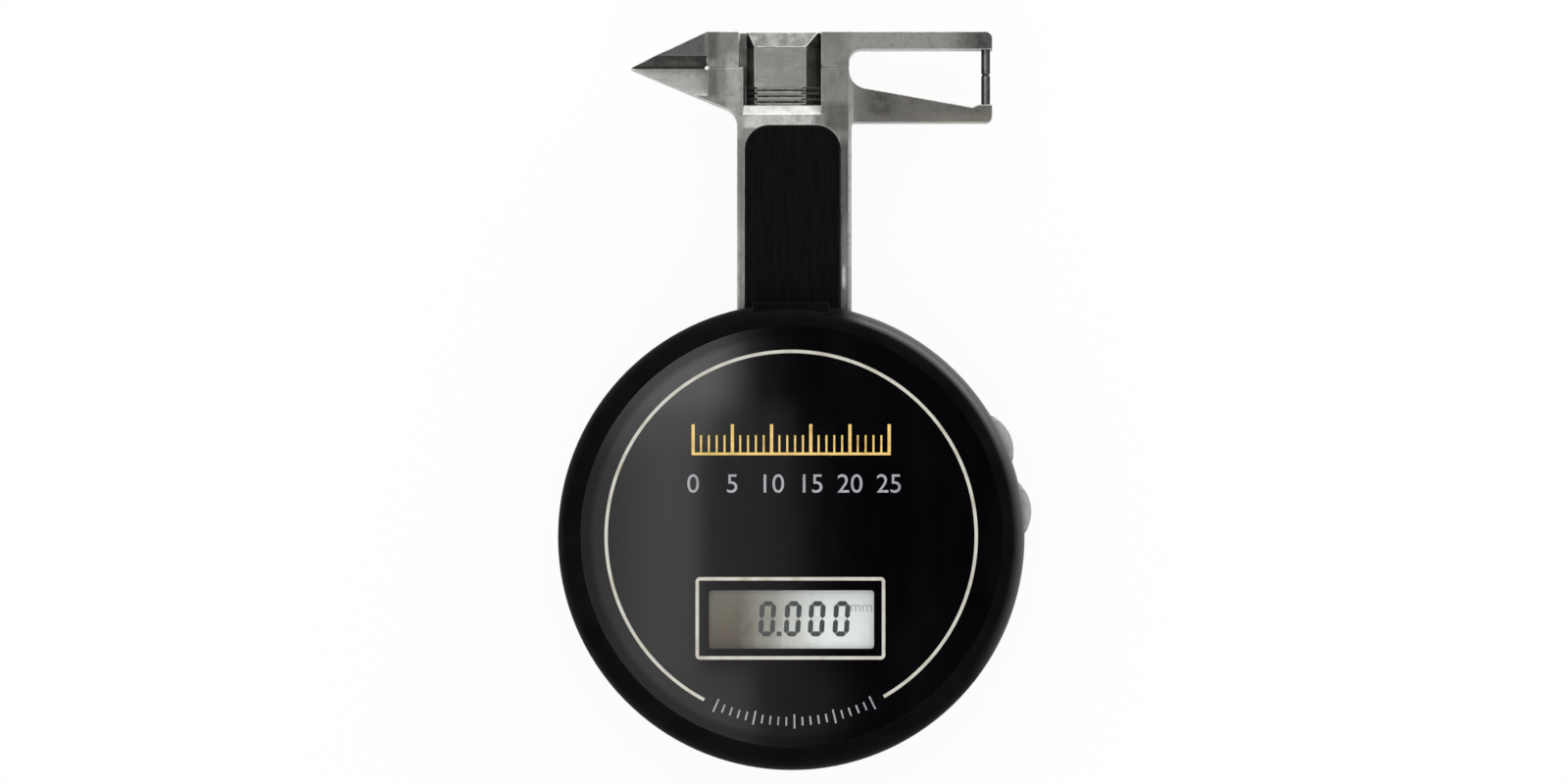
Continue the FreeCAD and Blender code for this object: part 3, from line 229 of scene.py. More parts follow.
class Paint:
    """A shader of one material slot, with helpers that add worked-out detail to it."""

    def __init__(self, name, colour, roughness, metallic=0.0, specular=0.5, worn=False):
        self.worn = worn
        if worn:
            name += "_edge"
        self.material = bpy.data.materials.new(name)
        self.material.use_nodes = True
        self.tree = self.material.node_tree
        self.shader = self.tree.nodes["Principled BSDF"]
        self.set("Base Color", (*colour, 1.0))
        self.set("Roughness", roughness)
        self.set("Metallic", metallic)
        self.set("Specular IOR Level", specular)
        self.coordinates = self.tree.nodes.new("ShaderNodeTexCoord").outputs["Object"]
        self.height = None

    def set(self, socket, value):
        """Sets one of the shader's own inputs."""
        self.feed(self.shader, socket, value)

    def feed(self, node, socket, value):
        """Gives a node's input a value, or the output of another node."""
        if hasattr(value, "is_output"):
            self.tree.links.new(value, node.inputs[socket])
        else:
            node.inputs[socket].default_value = value

    def noise(self, size, detail=4.0, roughness=0.55, stretch=(1.0, 1.0, 1.0), shift=0.0):
        """Cloudy noise with blotches of about this size in metres, drawn out along an axis."""
        mapping = self.tree.nodes.new("ShaderNodeMapping")
        mapping.inputs["Location"].default_value = (shift, shift * 0.7, -shift)
        mapping.inputs["Scale"].default_value = [1.0 / s for s in stretch]
        self.tree.links.new(self.coordinates, mapping.inputs["Vector"])
        texture = self.tree.nodes.new("ShaderNodeTexNoise")
        texture.inputs["Scale"].default_value = 1.0 / size
        texture.inputs["Detail"].default_value = detail
        texture.inputs["Roughness"].default_value = roughness
        self.tree.links.new(mapping.outputs["Vector"], texture.inputs["Vector"])
        return texture.outputs["Fac"]

    def cells(self, size, shift):
        """Distance from the nearest of scattered points about this far apart in metres."""
        mapping = self.tree.nodes.new("ShaderNodeMapping")
        mapping.inputs["Location"].default_value = (shift, shift, shift)
        self.tree.links.new(self.coordinates, mapping.inputs["Vector"])
        texture = self.tree.nodes.new("ShaderNodeTexVoronoi")
        texture.inputs["Scale"].default_value = 1.0 / size
        self.tree.links.new(mapping.outputs["Vector"], texture.inputs["Vector"])
        return texture.outputs["Distance"]

    def levels(self, value, low, high, start=0.0, end=1.0):
        """Value mapped from low..high to start..end and held there."""
        node = self.tree.nodes.new("ShaderNodeMapRange")
        self.feed(node, "Value", value)
        numbers = (("From Min", low), ("From Max", high), ("To Min", start), ("To Max", end))
        for socket, number in numbers:
            node.inputs[socket].default_value = number
        return node.outputs["Result"]

    def calc(self, operation, first, second):
        """Result of a sum with two values, each a number or the output of a node."""
        node = self.tree.nodes.new("ShaderNodeMath")
        node.operation = operation
        self.feed(node, 0, first)
        self.feed(node, 1, second)
        return node.outputs["Value"]

    def times(self, first, second):
        return self.calc("MULTIPLY", first, second)

    def plus(self, first, second):
        return self.calc("ADD", first, second)

    def fade(self, value, ends):
        """Share that rises from 0 to 1 between two ends in millimetres."""
        return self.levels(value, ends[0] * MM, ends[1] * MM)

    def blend(self, first, second, share):
        """Mix of two colours, through the sockets that a mix node has for colours."""
        node = self.tree.nodes.new("ShaderNodeMix")
        node.data_type = "RGBA"
        self.feed(node, "Factor", share)
        for socket, colour in ((6, first), (7, second)):
            self.feed(node, socket, colour if hasattr(colour, "is_output") else (*colour, 1.0))
        return node.outputs[2]

    def wear(self, first, rub_and_highlight, most, spared=()):
        """Colour rubbed through in patches, on the broken edges' paint and outside spared areas."""
        if not self.worn:
            return first
        patches = self.noise(0.7 * MM, 4.0, 0.65, shift=0.61)
        share = self.levels(patches, 0.3, 0.62, 0.25 * most, most)
        for area in spared:
            share = self.times(share, self.levels(self.zone(*area), 0.0, 1.0, 1.0, 0.0))
        return self.blend(first, rub_and_highlight, share)

    def radius(self):
        """Distance from the axis of the case, in metres."""
        across = self.calc("POWER", self.place("X"), 2.0)
        along = self.calc("POWER", self.place("Y"), 2.0)
        return self.calc("SQRT", self.plus(across, along), 0.0)

    def zone(self, left, right, low, high, soft_x, soft_y):
        """Share that is 1 inside a rectangle in plan, in millimetres, and fades over its border."""
        share = 1.0
        for axis, start, end, soft in (("X", left, right, soft_x), ("Y", low, high, soft_y)):
            place = self.place(axis)
            rise = self.levels(place, start * MM, (start + soft) * MM)
            fall = self.levels(place, end * MM, (end - soft) * MM)
            share = self.times(self.times(rise, fall), share)
        return share

    def grime(self, first, dark, reach, most):
        """Darkens narrow corners by ambient occlusion: painted shade, with dark grease."""
        node = self.tree.nodes.new("ShaderNodeAmbientOcclusion")
        node.samples = 8
        node.inputs["Distance"].default_value = reach
        return self.blend(first, dark, self.levels(node.outputs["AO"], 0.75, 0.3, 0.0, most))

    def place(self, axis):
        """Coordinate of the shaded point along an axis of the frame, in metres."""
        split = self.tree.nodes.new("ShaderNodeSeparateXYZ")
        self.tree.links.new(self.coordinates, split.inputs["Vector"])
        return split.outputs[axis]

    def bump(self, value, depth, strength=1.0):
        """Adds a relief of this depth in metres on top of what is there."""
        node = self.tree.nodes.new("ShaderNodeBump")
        node.inputs["Strength"].default_value = strength
        node.inputs["Distance"].default_value = depth
        self.tree.links.new(value, node.inputs["Height"])
        if self.height is not None:
            self.tree.links.new(self.height, node.inputs["Normal"])
        self.height = node.outputs["Normal"]
        self.tree.links.new(self.height, self.shader.inputs["Normal"])


def case_paint(worn=False):
    """Moulded black plastic with a fine spark texture, polished where hands rub it."""
    paint = Paint("case_black", (0.005, 0.005, 0.006), 0.4, specular=0.14, worn=worn)
    grain = paint.noise(0.16 * MM, 3.0)
    haze = paint.noise(7.0 * MM, 5.0, shift=0.31)
    scuffs = paint.noise(0.5 * MM, 6.0, 0.7, stretch=(9.0, 1.0, 3.0), shift=0.11)
    tint = paint.blend((0.0015, 0.0015, 0.0018), (0.0045, 0.0045, 0.0052),
                       paint.levels(haze, 0.35, 0.7))
    paint.set("Base Color", paint.wear(tint, (0.01, 0.01, 0.011), 0.4))
    across = paint.times(paint.place("X"), thumb_direction[0])
    along = paint.times(paint.place("Y"), thumb_direction[1])
    thumb = paint.fade(paint.plus(across, along), thumb_reach)
    thumb = paint.times(thumb, paint.fade(paint.radius(), thumb_radii))
    right = paint.fade(paint.place("X"), thumb_right)
    upper = paint.fade(paint.place("Z"), thumb_heights)
    thumb = paint.times(thumb, paint.times(right, upper))
    paint.set("Specular IOR Level", paint.levels(thumb, 0.0, 1.0, 0.03, 0.95))
    rough = paint.plus(paint.levels(haze, 0.3, 0.7, 0.42, 0.54),
                       paint.levels(thumb, 0.0, 1.0, 0.0, -0.12))
    paint.set("Roughness", paint.plus(rough, paint.levels(scuffs, 0.6, 0.75, 0.0, 0.08)))
    paint.bump(grain, 0.012 * MM, 0.3)
    return paint


def panel_paint(worn=False):
    """Polished black face plate, with the faint smears and dust of use."""
    paint = Paint("panel_black", (0.004, 0.004, 0.005), 0.1, worn=worn)
    smear = paint.noise(9.0 * MM, 4.0, 0.6, stretch=(1.0, 3.0, 1.0))
    dust = paint.noise(0.25 * MM, 2.0, shift=0.2)
    tint = paint.blend((0.0015, 0.0015, 0.002), (0.004, 0.004, 0.005),
                       paint.levels(smear, 0.4, 0.75))
    specks = paint.levels(dust, 0.74, 0.8, 0.0, 0.4)
    paint.set("Base Color", paint.blend(tint, (0.02, 0.02, 0.02), specks))
    paint.set("Roughness", paint.levels(smear, 0.3, 0.75, 0.035, 0.06))
    rim = paint.fade(paint.radius(), panel_rim_radii)
    paint.set("Specular IOR Level", paint.levels(rim, 0.0, 1.0, 0.5, 0.28))
    paint.bump(paint.noise(5.0 * MM, 1.0, shift=0.5), 0.004 * MM, 0.15)
    return paint


def window_paint(worn=False):
    """Clear window. Shadow rays pass, so that the display under it is lit."""
    paint = Paint("window_clear", (0.985, 0.99, 0.985), 0.02, worn=worn)
    paint.set("Transmission Weight", 1.0)
    paint.set("IOR", 1.45)
    smear = paint.noise(4.0 * MM, 4.0)
    paint.set("Roughness", paint.levels(smear, 0.4, 0.75, 0.015, 0.06))
    nodes = paint.tree.nodes
    path = nodes.new("ShaderNodeLightPath")
    clear = nodes.new("ShaderNodeBsdfTransparent")
    mix = nodes.new("ShaderNodeMixShader")
    paint.tree.links.new(path.outputs["Is Shadow Ray"], mix.inputs["Fac"])
    paint.tree.links.new(paint.shader.outputs["BSDF"], mix.inputs[1])
    paint.tree.links.new(clear.outputs["BSDF"], mix.inputs[2])
    paint.tree.links.new(mix.outputs["Shader"], nodes["Material Output"].inputs["Surface"])
    return paint


def lcd_paint(name="lcd_grey", shade=1.0):
    """Reflective display glass with painted shade and light: brown at its left end, darkest low
    down, pale grey to the right.
    """
    paint = Paint(name, (0.5, 0.5, 0.47), 0.35)
    low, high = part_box("lcd_glass")
    across = paint.levels(paint.place("X"), low.x, high.x)
    cloud = paint.noise(3.0 * MM, 4.0, stretch=(1.0, 2.0, 1.0))
    across = paint.plus(across, paint.levels(cloud, 0.3, 0.7, -0.05, 0.05))
    # Dark brown tints at the left end, darkest at the lower left, are painted shade; the pale tints
    # to the right are painted light
    tints = [[c * shade for c in tint] for tint in (
        (0.07, 0.05, 0.026), (0.19, 0.165, 0.12), (0.50, 0.50, 0.455), (0.95, 0.98, 0.96))]
    up = paint.levels(paint.place("Y"), low.y + 1.5 * MM, high.y - 2.0 * MM)
    shaded_brown = paint.blend(tints[0], tints[1], up)
    start = paint.plus(across, paint.levels(up, 0.0, 1.0, 0.0, 0.04))
    lit_pale = paint.blend(tints[2], tints[3], paint.levels(across, 0.42, 0.68))
    paint.set("Base Color", paint.blend(shaded_brown, lit_pale, paint.levels(start, 0.22, 0.5)))
    lines = paint.noise(0.1 * MM, 1.0, stretch=(30.0, 1.0, 1.0))
    paint.bump(lines, 0.004 * MM, 0.2)
    return paint


def ink_paint():
    """Dark segments of the display."""
    paint = Paint("lcd_ink", (0.035, 0.042, 0.045), 0.4)
    cloud = paint.noise(0.8 * MM, 3.0)
    paint.set("Base Color", paint.blend((0.03, 0.037, 0.04), (0.06, 0.068, 0.07), cloud))
    return paint


def print_paint(name, colour, dark):
    """Screen print: a matt film that lets a little of the plate through."""
    paint = Paint(name, colour, 0.5)
    mesh = paint.noise(0.09 * MM, 2.0)
    cloud = paint.noise(2.5 * MM, 4.0)
    tint = paint.blend(dark, colour, paint.levels(cloud, 0.25, 0.55))
    paint.set("Base Color", paint.blend(tint, dark, paint.levels(mesh, 0.62, 0.75, 0.0, 0.5)))
    paint.bump(mesh, 0.006 * MM, 0.3)
    return paint


def steel_paint(name, base, stain, direction, zones, rough=(0.26, 0.44), grime=0.35, worn=False,
                spared=()):
    """Ground steel with the grey bloom, rub marks and pits of long use.

    A zone is a colour, its strength and its area. An area, also a spared one, is left, right, low
    and high in plan and its soft borders across and along, in millimetres.
    """
    paint = Paint(name, base, 0.35, metallic=1.0, worn=worn)
    bloom = paint.noise(1.3 * MM, 7.0, 0.7, shift=0.07)
    patch = paint.noise(4.0 * MM, 4.0, 0.6, shift=0.41)
    drawn_out = [1.0 + 0.25 * d for d in direction]
    streaks = paint.noise(0.8 * MM, 5.0, 0.65, stretch=drawn_out, shift=0.29)
    lines = paint.noise(0.07 * MM, 3.0, 0.7, stretch=direction, shift=0.23)
    pits = paint.cells(0.55 * MM, 0.13)
    lighter = [min(0.9, c * 1.25) for c in base]
    lightest = [min(0.9, c * 1.8) for c in base]
    tint = paint.blend(base, lighter, paint.levels(patch, 0.42, 0.68))
    tint = paint.blend(tint, lightest, paint.levels(streaks, 0.5, 0.7, 0.0, 0.45))
    shade = paint.levels(bloom, 0.34, 0.66, 1.0, 0.7)
    for colour, strength, area in zones:
        share = paint.times(paint.zone(*area), strength)
        tint = paint.blend(tint, colour, paint.times(share, shade))
    tint = paint.blend(tint, stain, paint.levels(bloom, 0.44, 0.66, 0.0, 0.5))
    tint = paint.blend(tint, stain, paint.levels(lines, 0.46, 0.7, 0.0, 0.4))
    tint = paint.blend(tint, [c * 0.5 for c in stain], paint.levels(pits, 0.12, 0.04, 0.0, 0.7))
    # Narrow corners darkened by ambient occlusion: painted shade, with grease
    tint = paint.grime(tint, (0.03, 0.03, 0.03), 1.0 * MM, grime)
    paint.set("Base Color", paint.wear(tint, (0.62, 0.62, 0.6), 0.8, spared))
    blur = paint.levels(bloom, 0.35, 0.65, rough[0], rough[1])
    paint.set("Roughness", paint.plus(blur, paint.levels(lines, 0.35, 0.7, -0.05, 0.08)))
    paint.bump(lines, 0.004 * MM, 0.35)
    paint.bump(paint.levels(pits, 0.02, 0.1), 0.008 * MM, 0.5)
    return paint


def bar_paint(worn=False):
    """Steel of the slide bar, ground across, with painted shade on its top bevel, right flank,
    lower part and in its grooves.
    """
    zones = [
        # Darker top bevel, lower part, part deep under the bridge and right flank: painted shade
        ((0.06, 0.06, 0.057), 1.0, (-7.0, 5.0, 62.6, 66.0, 0.2, 0.15)),
        ((0.21, 0.21, 0.20), 0.6, (-7.0, 5.0, 20.0, 57.75, 0.2, 0.1)),
        ((0.12, 0.12, 0.115), 0.7, (-7.0, 5.0, 50.0, 55.5, 0.2, 0.1)),
        ((0.08, 0.08, 0.077), 0.75, (1.9, 5.0, 57.6, 62.8, 0.2, 0.15)),
    ]
    # Cross grooves darkened near black: painted shade
    for groove in shaded_groove_middles:
        area = (-7.0, 5.0, groove - shaded_groove_half, groove + shaded_groove_half, 0.1, 0.08)
        zones.append(((0.008, 0.008, 0.008), 1.0, area))
    return steel_paint("bar_steel", (0.385, 0.38, 0.36), (0.27, 0.268, 0.255), (14.0, 1.0, 1.0),
                       zones, rough=(0.26, 0.36), worn=worn)


def ground_paint():
    """Brighter steel of the ground slopes that face up the stem: painted light."""
    zones = (
        # Darker towards the foot of the slopes, and a painted highlight along their top edge
        ((0.30, 0.30, 0.29), 0.9, (-23.0, -10.6, 54.0, 59.0, 0.1, 1.4)),
        ((0.95, 0.94, 0.92), 0.9, (-23.0, -10.6, 58.6, 61.2, 0.1, 0.6)),
    )
    return steel_paint("lit_ground_steel", (0.68, 0.675, 0.65), (0.5, 0.5, 0.48), (14.0, 1.0, 1.0),
                       zones, rough=(0.6, 0.75), grime=0.0)


def cover_paint(worn=False):
    """Black strip, bead blasted, with faint rubbed lines along the stem."""
    paint = Paint("cover_black", (0.005, 0.005, 0.005), 0.5, specular=0.05, worn=worn)
    grain = paint.noise(0.12 * MM, 3.0)
    rub_and_highlight = paint.noise(0.35 * MM, 4.0, 0.6, stretch=(1.0, 14.0, 1.0), shift=0.17)
    tint = paint.blend((0.0015, 0.0015, 0.0015), (0.005, 0.005, 0.005),
                       paint.levels(rub_and_highlight, 0.4, 0.75))
    paint.set("Base Color", paint.wear(tint, (0.03, 0.03, 0.03), 0.5))
    paint.set("Roughness", paint.levels(rub_and_highlight, 0.35, 0.7, 0.45, 0.62))
    paint.bump(grain, 0.01 * MM, 0.4)
    return paint


def rubber_paint(name, colour, rough):
    """Rubber or dull plastic with a fine grain."""
    paint = Paint(name, colour, rough, specular=0.3)
    grain = paint.noise(0.1 * MM, 3.0)
    haze = paint.noise(1.5 * MM, 4.0, shift=0.3)
    lighter = [c * 1.9 for c in colour]
    paint.set("Base Color", paint.blend(colour, lighter, paint.levels(haze, 0.4, 0.75)))
    paint.set("Roughness", paint.levels(haze, 0.3, 0.7, rough - 0.07, rough + 0.08))
    paint.bump(grain, 0.01 * MM, 0.4)
    return paint


def metal_paint(name, base, dark, rough, direction=(1.0, 1.0, 1.0), worn=False):
    """Plain plated or turned metal."""
    paint = Paint(name, base, rough, metallic=1.0, worn=worn)
    haze = paint.noise(1.6 * MM, 5.0, 0.6)
    lines = paint.noise(0.05 * MM, 3.0, 0.7, stretch=direction, shift=0.2)
    tint = paint.blend(base, dark, paint.levels(haze, 0.48, 0.72, 0.0, 0.6))
    paint.set("Base Color", paint.wear(tint, [min(1.0, c * 1.25) for c in base], 0.8))
    paint.set("Roughness", paint.levels(haze, 0.3, 0.7, rough - 0.06, rough + 0.1))
    paint.bump(lines, 0.003 * MM, 0.35)
    return paint


def board_paint():
    """Green board with tracks under its lacquer and the weave of its glass cloth."""
    paint = Paint("board_green", (0.012, 0.09, 0.035), 0.3)
    tracks = paint.cells(2.4 * MM, 0.05)
    weave = paint.noise(0.25 * MM, 2.0)
    track = paint.levels(tracks, 0.3, 0.36)
    tint = paint.blend((0.016, 0.13, 0.05), (0.008, 0.065, 0.026), track)
    threads = paint.levels(weave, 0.5, 0.7, 0.0, 0.4)
    paint.set("Base Color", paint.blend(tint, (0.006, 0.05, 0.02), threads))
    paint.set("Roughness", paint.levels(weave, 0.3, 0.7, 0.24, 0.36))
    paint.bump(track, 0.02 * MM, 0.3)
    return paint


def jaw_paint(worn=False):
    """Steel of the jaws and the stem, darker and lighter in zones, some of them painted shade and
    painted highlights as marked.
    """
    zones = (
        ((0.56, 0.56, 0.54), 0.8, (6.0, 21.5, 61.0, 66.0, 2.0, 0.4)),
        ((0.07, 0.07, 0.07), 0.9, (21.0, 30.0, 60.5, 66.0, 3.0, 0.3)),
        ((0.20, 0.185, 0.16), 0.75, (7.0, 30.0, 50.0, 59.2, 2.0, 0.5)),
        ((0.42, 0.39, 0.34), 0.6, (15.0, 30.0, 50.0, 54.5, 4.0, 0.8)),
        ((0.08, 0.074, 0.064), 0.65, (9.0, 14.0, 53.6, 59.0, 1.5, 1.0)),
        ((0.07, 0.07, 0.07), 0.75, (-11.2, -9.0, 60.8, 66.0, 0.8, 0.5)),
        ((0.09, 0.09, 0.09), 0.65, (-10.9, -9.2, 56.0, 60.1, 0.5, 0.6)),
        ((0.66, 0.65, 0.62), 0.85, (-8.6, -6.0, 50.5, 62.3, 0.6, 1.0)),
        ((0.08, 0.08, 0.08), 0.8, (-23.0, -10.9, 60.8, 66.0, 0.3, 0.3)),
        # Down-facing bevel of the upper beak, darker: painted shade
        ((0.026, 0.026, 0.026), 0.95, (-23.0, -10.75, 60.07, 61.6, 0.05, 0.08)),
        # Ledge across the stem and the band above it, lighter: painted highlight
        ((0.46, 0.455, 0.44), 0.95, (-7.4, 2.8, 53.9, 55.8, 0.6, 0.2)),
        ((0.95, 0.94, 0.91), 0.95, (-6.6, 3.2, 52.2, 54.3, 0.8, 0.2)),
        ((0.10, 0.10, 0.095), 1.0, (0.6, 4.6, 54.1, 55.8, 1.0, 0.2)),
        ((0.10, 0.10, 0.095), 0.75, (4.0, 8.0, 51.5, 56.0, 0.8, 1.0)),
        # Inner side of the stem's left strip, darker: painted shade
        ((0.10, 0.10, 0.095), 0.8, (-7.2, -5.6, 36.0, 54.0, 0.2, 14.0)),
        # Outer left edge of the stem, lighter: painted highlight
        ((0.75, 0.75, 0.73), 0.8, (-7.4, -6.6, 10.0, 50.0, 0.1, 20.0)),
        ((0.05, 0.05, 0.05), 0.9, (6.1, 7.3, 10.0, 51.5, 0.15, 1.5)),
        ((0.18, 0.18, 0.175), 0.8, (6.5, 7.0, 41.0, 51.0, 0.12, 2.0)),
        ((0.34, 0.34, 0.33), 0.85, (6.45, 7.6, 29.0, 43.0, 0.15, 4.0)),
        # Glint on the right strip, and the outer right edge lighter: painted highlights
        ((0.85, 0.85, 0.83), 0.9, (6.45, 7.0, 31.6, 35.0, 0.12, 0.9)),
        ((0.80, 0.80, 0.78), 0.9, (7.25, 8.0, 26.0, 62.0, 0.1, 12.0)),
    )
    spared = (
        (-23.0, 7.3, 59.5, 60.7, 0.1, 0.2),
        (-23.0, -10.5, 61.1, 62.2, 0.1, 0.2),
        (-7.6, -6.5, 36.0, 53.0, 0.1, 10.0),
        (5.8, 7.2, 24.0, 52.5, 0.1, 0.5),
        (7.6, 27.0, 52.0, 53.5, 0.2, 0.2),
    )
    return steel_paint("jaw_steel", (0.32, 0.317, 0.30), (0.12, 0.12, 0.114), (1.0, 12.0, 1.0),
                       zones, worn=worn, spared=spared)


def pin_paint():
    """Dark hardened steel, with a painted highlight down the middle of the measuring pins."""
    paint = Paint("pin_steel", (0.1, 0.1, 0.1), 0.25, metallic=1.0)
    haze = paint.noise(0.8 * MM, 5.0, 0.6)
    lines = paint.noise(0.05 * MM, 3.0, 0.7, shift=0.2)
    tint = paint.blend((0.055, 0.055, 0.055), (0.03, 0.03, 0.03), paint.levels(haze, 0.45, 0.65))
    # Pale stripe down the middle of each pin: a painted highlight, as a lit round pin shows
    rub_and_highlight = paint.times(paint.zone(24.6, 25.15, 52.0, 66.0, 0.2, 1.0),
                         paint.levels(haze, 0.35, 0.65, 0.9, 0.5))
    paint.set("Base Color", paint.blend(tint, (0.36, 0.36, 0.35), rub_and_highlight))
    paint.set("Roughness", paint.levels(haze, 0.3, 0.7, 0.2, 0.34))
    paint.bump(lines, 0.003 * MM, 0.35)
    return paint


def screw_paint(worn=False):
    """Plated steel of the screws."""
    return metal_paint("screw_steel", (0.5, 0.5, 0.48), (0.28, 0.28, 0.27), 0.28, worn=worn)


def button_paint(worn=False):
    """Satin button, dark at its root and pale on the crown, a painted highlight, most on its upper
    face.
    """
    paint = Paint("button_rubber", (0.10, 0.10, 0.10), 0.4, specular=0.7, worn=worn)
    haze = paint.noise(1.2 * MM, 4.0, shift=0.3)
    # Pale crown, paler on its upper face: painted highlight
    crown_highlight = paint.fade(paint.radius(), crown_radii)
    crown_highlight = paint.plus(crown_highlight, paint.levels(haze, 0.3, 0.7, -0.12, 0.12))
    upper = paint.fade(paint.place("Z"), crown_heights)
    lit_pale = paint.blend((0.26, 0.26, 0.256), (0.53, 0.53, 0.52), upper)
    tint = paint.blend((0.02, 0.02, 0.021), lit_pale, paint.levels(crown_highlight, 0.0, 1.0))
    paint.set("Base Color", paint.wear(tint, (0.36, 0.36, 0.35), 0.3))
    paint.set("Roughness", paint.levels(haze, 0.3, 0.7, 0.3, 0.42))
    paint.bump(paint.noise(0.1 * MM, 3.0), 0.01 * MM, 0.4)
    return paint


# Paints of the pieces whose edges are broken, which also come worn for those edges, and the rest
outer_paints = {
    "case_black": case_paint,
    "panel_black": panel_paint,
    "window_clear": window_paint,
    "jaw_steel": jaw_paint,
    "bar_steel": bar_paint,
    "cover_black": cover_paint,
    "button_rubber": button_paint,
    "screw_steel": screw_paint,
}
edge_paints = {slot: make(worn=True) for slot, make in outer_paints.items()}
paints = {slot: make() for slot, make in outer_paints.items()}
paints.update({
    "lcd_grey": lcd_paint(),
    "frame_plastic": rubber_paint("frame_plastic", (0.02, 0.02, 0.02), 0.45),
    "contact_rubber": rubber_paint("contact_rubber", (0.05, 0.035, 0.03), 0.6),
    "board_green": board_paint(),
    "chip_black": rubber_paint("chip_black", (0.014, 0.014, 0.015), 0.5),
    "plated_metal": metal_paint("plated_metal", (0.66, 0.64, 0.58), (0.4, 0.38, 0.34), 0.25),
    "spring_steel": metal_paint("spring_steel", (0.5, 0.5, 0.5), (0.3, 0.3, 0.31), 0.22),
    "lit_ground_steel": ground_paint(),
    "pin_steel": pin_paint(),
    "brass_plate": metal_paint("brass_plate", (0.62, 0.45, 0.2), (0.4, 0.27, 0.11), 0.3,
                               (12.0, 1.0, 1.0)),
    "brass_bush": metal_paint("brass_bush", (0.66, 0.47, 0.2), (0.42, 0.28, 0.11), 0.24),
    "brass_gear": metal_paint("brass_gear", (0.68, 0.5, 0.23), (0.45, 0.31, 0.13), 0.24),
})
cream_paint = print_paint("print_cream", (0.62, 0.60, 0.53), (0.42, 0.39, 0.31))
gold_paint = print_paint("print_gold", (0.88, 0.62, 0.20), (0.5, 0.32, 0.08))
grey_paint = print_paint("print_grey", (0.38, 0.39, 0.42), (0.22, 0.22, 0.24))
lcd_ink = ink_paint()
ghost_paint = lcd_paint("lcd_ghost", 0.9)
faint_paint = lcd_paint("lcd_faint", 0.55)

slot_of = {part["node"]: part["material_slot"] for part in frame["record"]["subparts"]}
bodies = frame["record"]["behaviour"]["bodies"]
body_of = {node: body for body, nodes in bodies.items() for node in nodes}
look_of = {**slot_of, "slide_bar": "bar_steel"}


def dress(obj, paint):
    """Gives a piece this paint alone."""
    obj.data.materials.clear()
    obj.data.materials.append(paint.material)


def new_piece(name, mesh, body, paint):
    """Links a finished mesh as a piece of a body."""
    obj = bpy.data.objects.new(name, mesh)
    bpy.context.scene.collection.objects.link(obj)
    dress(obj, paint)
    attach(obj, body)
    return obj


def mesh_from(bm, name):
    """Turns a finished bmesh into a mesh with its faces outward."""
    mesh = bpy.data.meshes.new(name)
    bmesh.ops.recalc_face_normals(bm, faces=bm.faces)
    bm.to_mesh(mesh)
    bm.free()
    return mesh


def house_piece(name, bm, paint):
    """Links a finished bmesh as a piece of the housing."""
    new_piece(name, mesh_from(bm, name), "housing", paint)


def slab(bm, corners, low, high):
    """Adds a closed plate on an outline of (x, y) corners to a mesh."""
    lower = [bm.verts.new((x, y, low)) for x, y in corners]
    upper = [bm.verts.new((x, y, high)) for x, y in corners]
    bm.faces.new(list(reversed(lower)))
    bm.faces.new(upper)
    for index in range(len(corners)):
        after = (index + 1) % len(corners)
        bm.faces.new((lower[index], lower[after], upper[after], upper[index]))


def band(bm, outer, inner, low, closed):
    """Adds a printed band between two outlines of (x, y) points to a mesh."""
    high = low + print_height
    rows = []
    for (outer_x, outer_y), (inner_x, inner_y) in zip(outer, inner):
        rows.append([bm.verts.new(point) for point in (
            (outer_x, outer_y, low), (outer_x, outer_y, high),
            (inner_x, inner_y, high), (inner_x, inner_y, low))])
    following = rows[1:] + rows[:1] if closed else rows[1:]
    for row, after in zip(rows, following):
        for corner in range(4):
            other = (corner + 1) % 4
            bm.faces.new((row[corner], row[other], after[other], after[corner]))
    if not closed:
        bm.faces.new(rows[0])
        bm.faces.new(list(reversed(rows[-1])))


def is_ground_slope(normal):
    """Whether a face of the jaw frame is one of the slopes that face up the stem."""
    return 0.25 < normal.z < 0.97 and normal.y > 0.25 and abs(normal.x) < 0.3


def add_box(bm, low, high):
    """Adds a box between two corners to a mesh."""
    corners = [(low[0], low[1]), (high[0], low[1]), (high[0], high[1]), (low[0], high[1])]
    slab(bm, corners, low[2], high[2])


def soften(node, width):
    """Replaces a CAD node by a copy whose sharp edges are broken, as on the real piece."""
    look = look_of[node]
    mesh = frame["nodes"][node].data.copy()
    bm = bmesh.new()
    bm.from_mesh(mesh)
    bmesh.ops.remove_doubles(bm, verts=bm.verts, dist=merge_distance)
    bmesh.ops.dissolve_limit(bm, angle_limit=math.radians(flat_angle), verts=bm.verts,
                             edges=bm.edges)
    bm.to_mesh(mesh)
    bm.free()
    mesh.name = node + "_finish"
    obj = new_piece(node + "_finish", mesh, body_of[node], paints[look])
    mesh.materials.append(edge_paints[look].material)
    if node == "jaw_frame":
        # Slopes that face up the stem take the brighter steel: painted light
        mesh.materials.append(paints["lit_ground_steel"].material)
        for face in mesh.polygons:
            if is_ground_slope(face.normal):
                face.material_index = 2
    for face in mesh.polygons:
        face.use_smooth = True
    bevel = obj.modifiers.new("edges", "BEVEL")
    bevel.width = width
    bevel.segments = 2
    bevel.limit_method = "ANGLE"
    bevel.angle_limit = math.radians(edge_angle)
    bevel.use_clamp_overlap = False
    bevel.material = 1
    bevel.face_strength_mode = "FSTR_AFFECTED"
    normals = obj.modifiers.new("normals", "WEIGHTED_NORMAL")
    normals.mode = "FACE_AREA"
    normals.weight = 100
    normals.use_face_influence = True
    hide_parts(node)


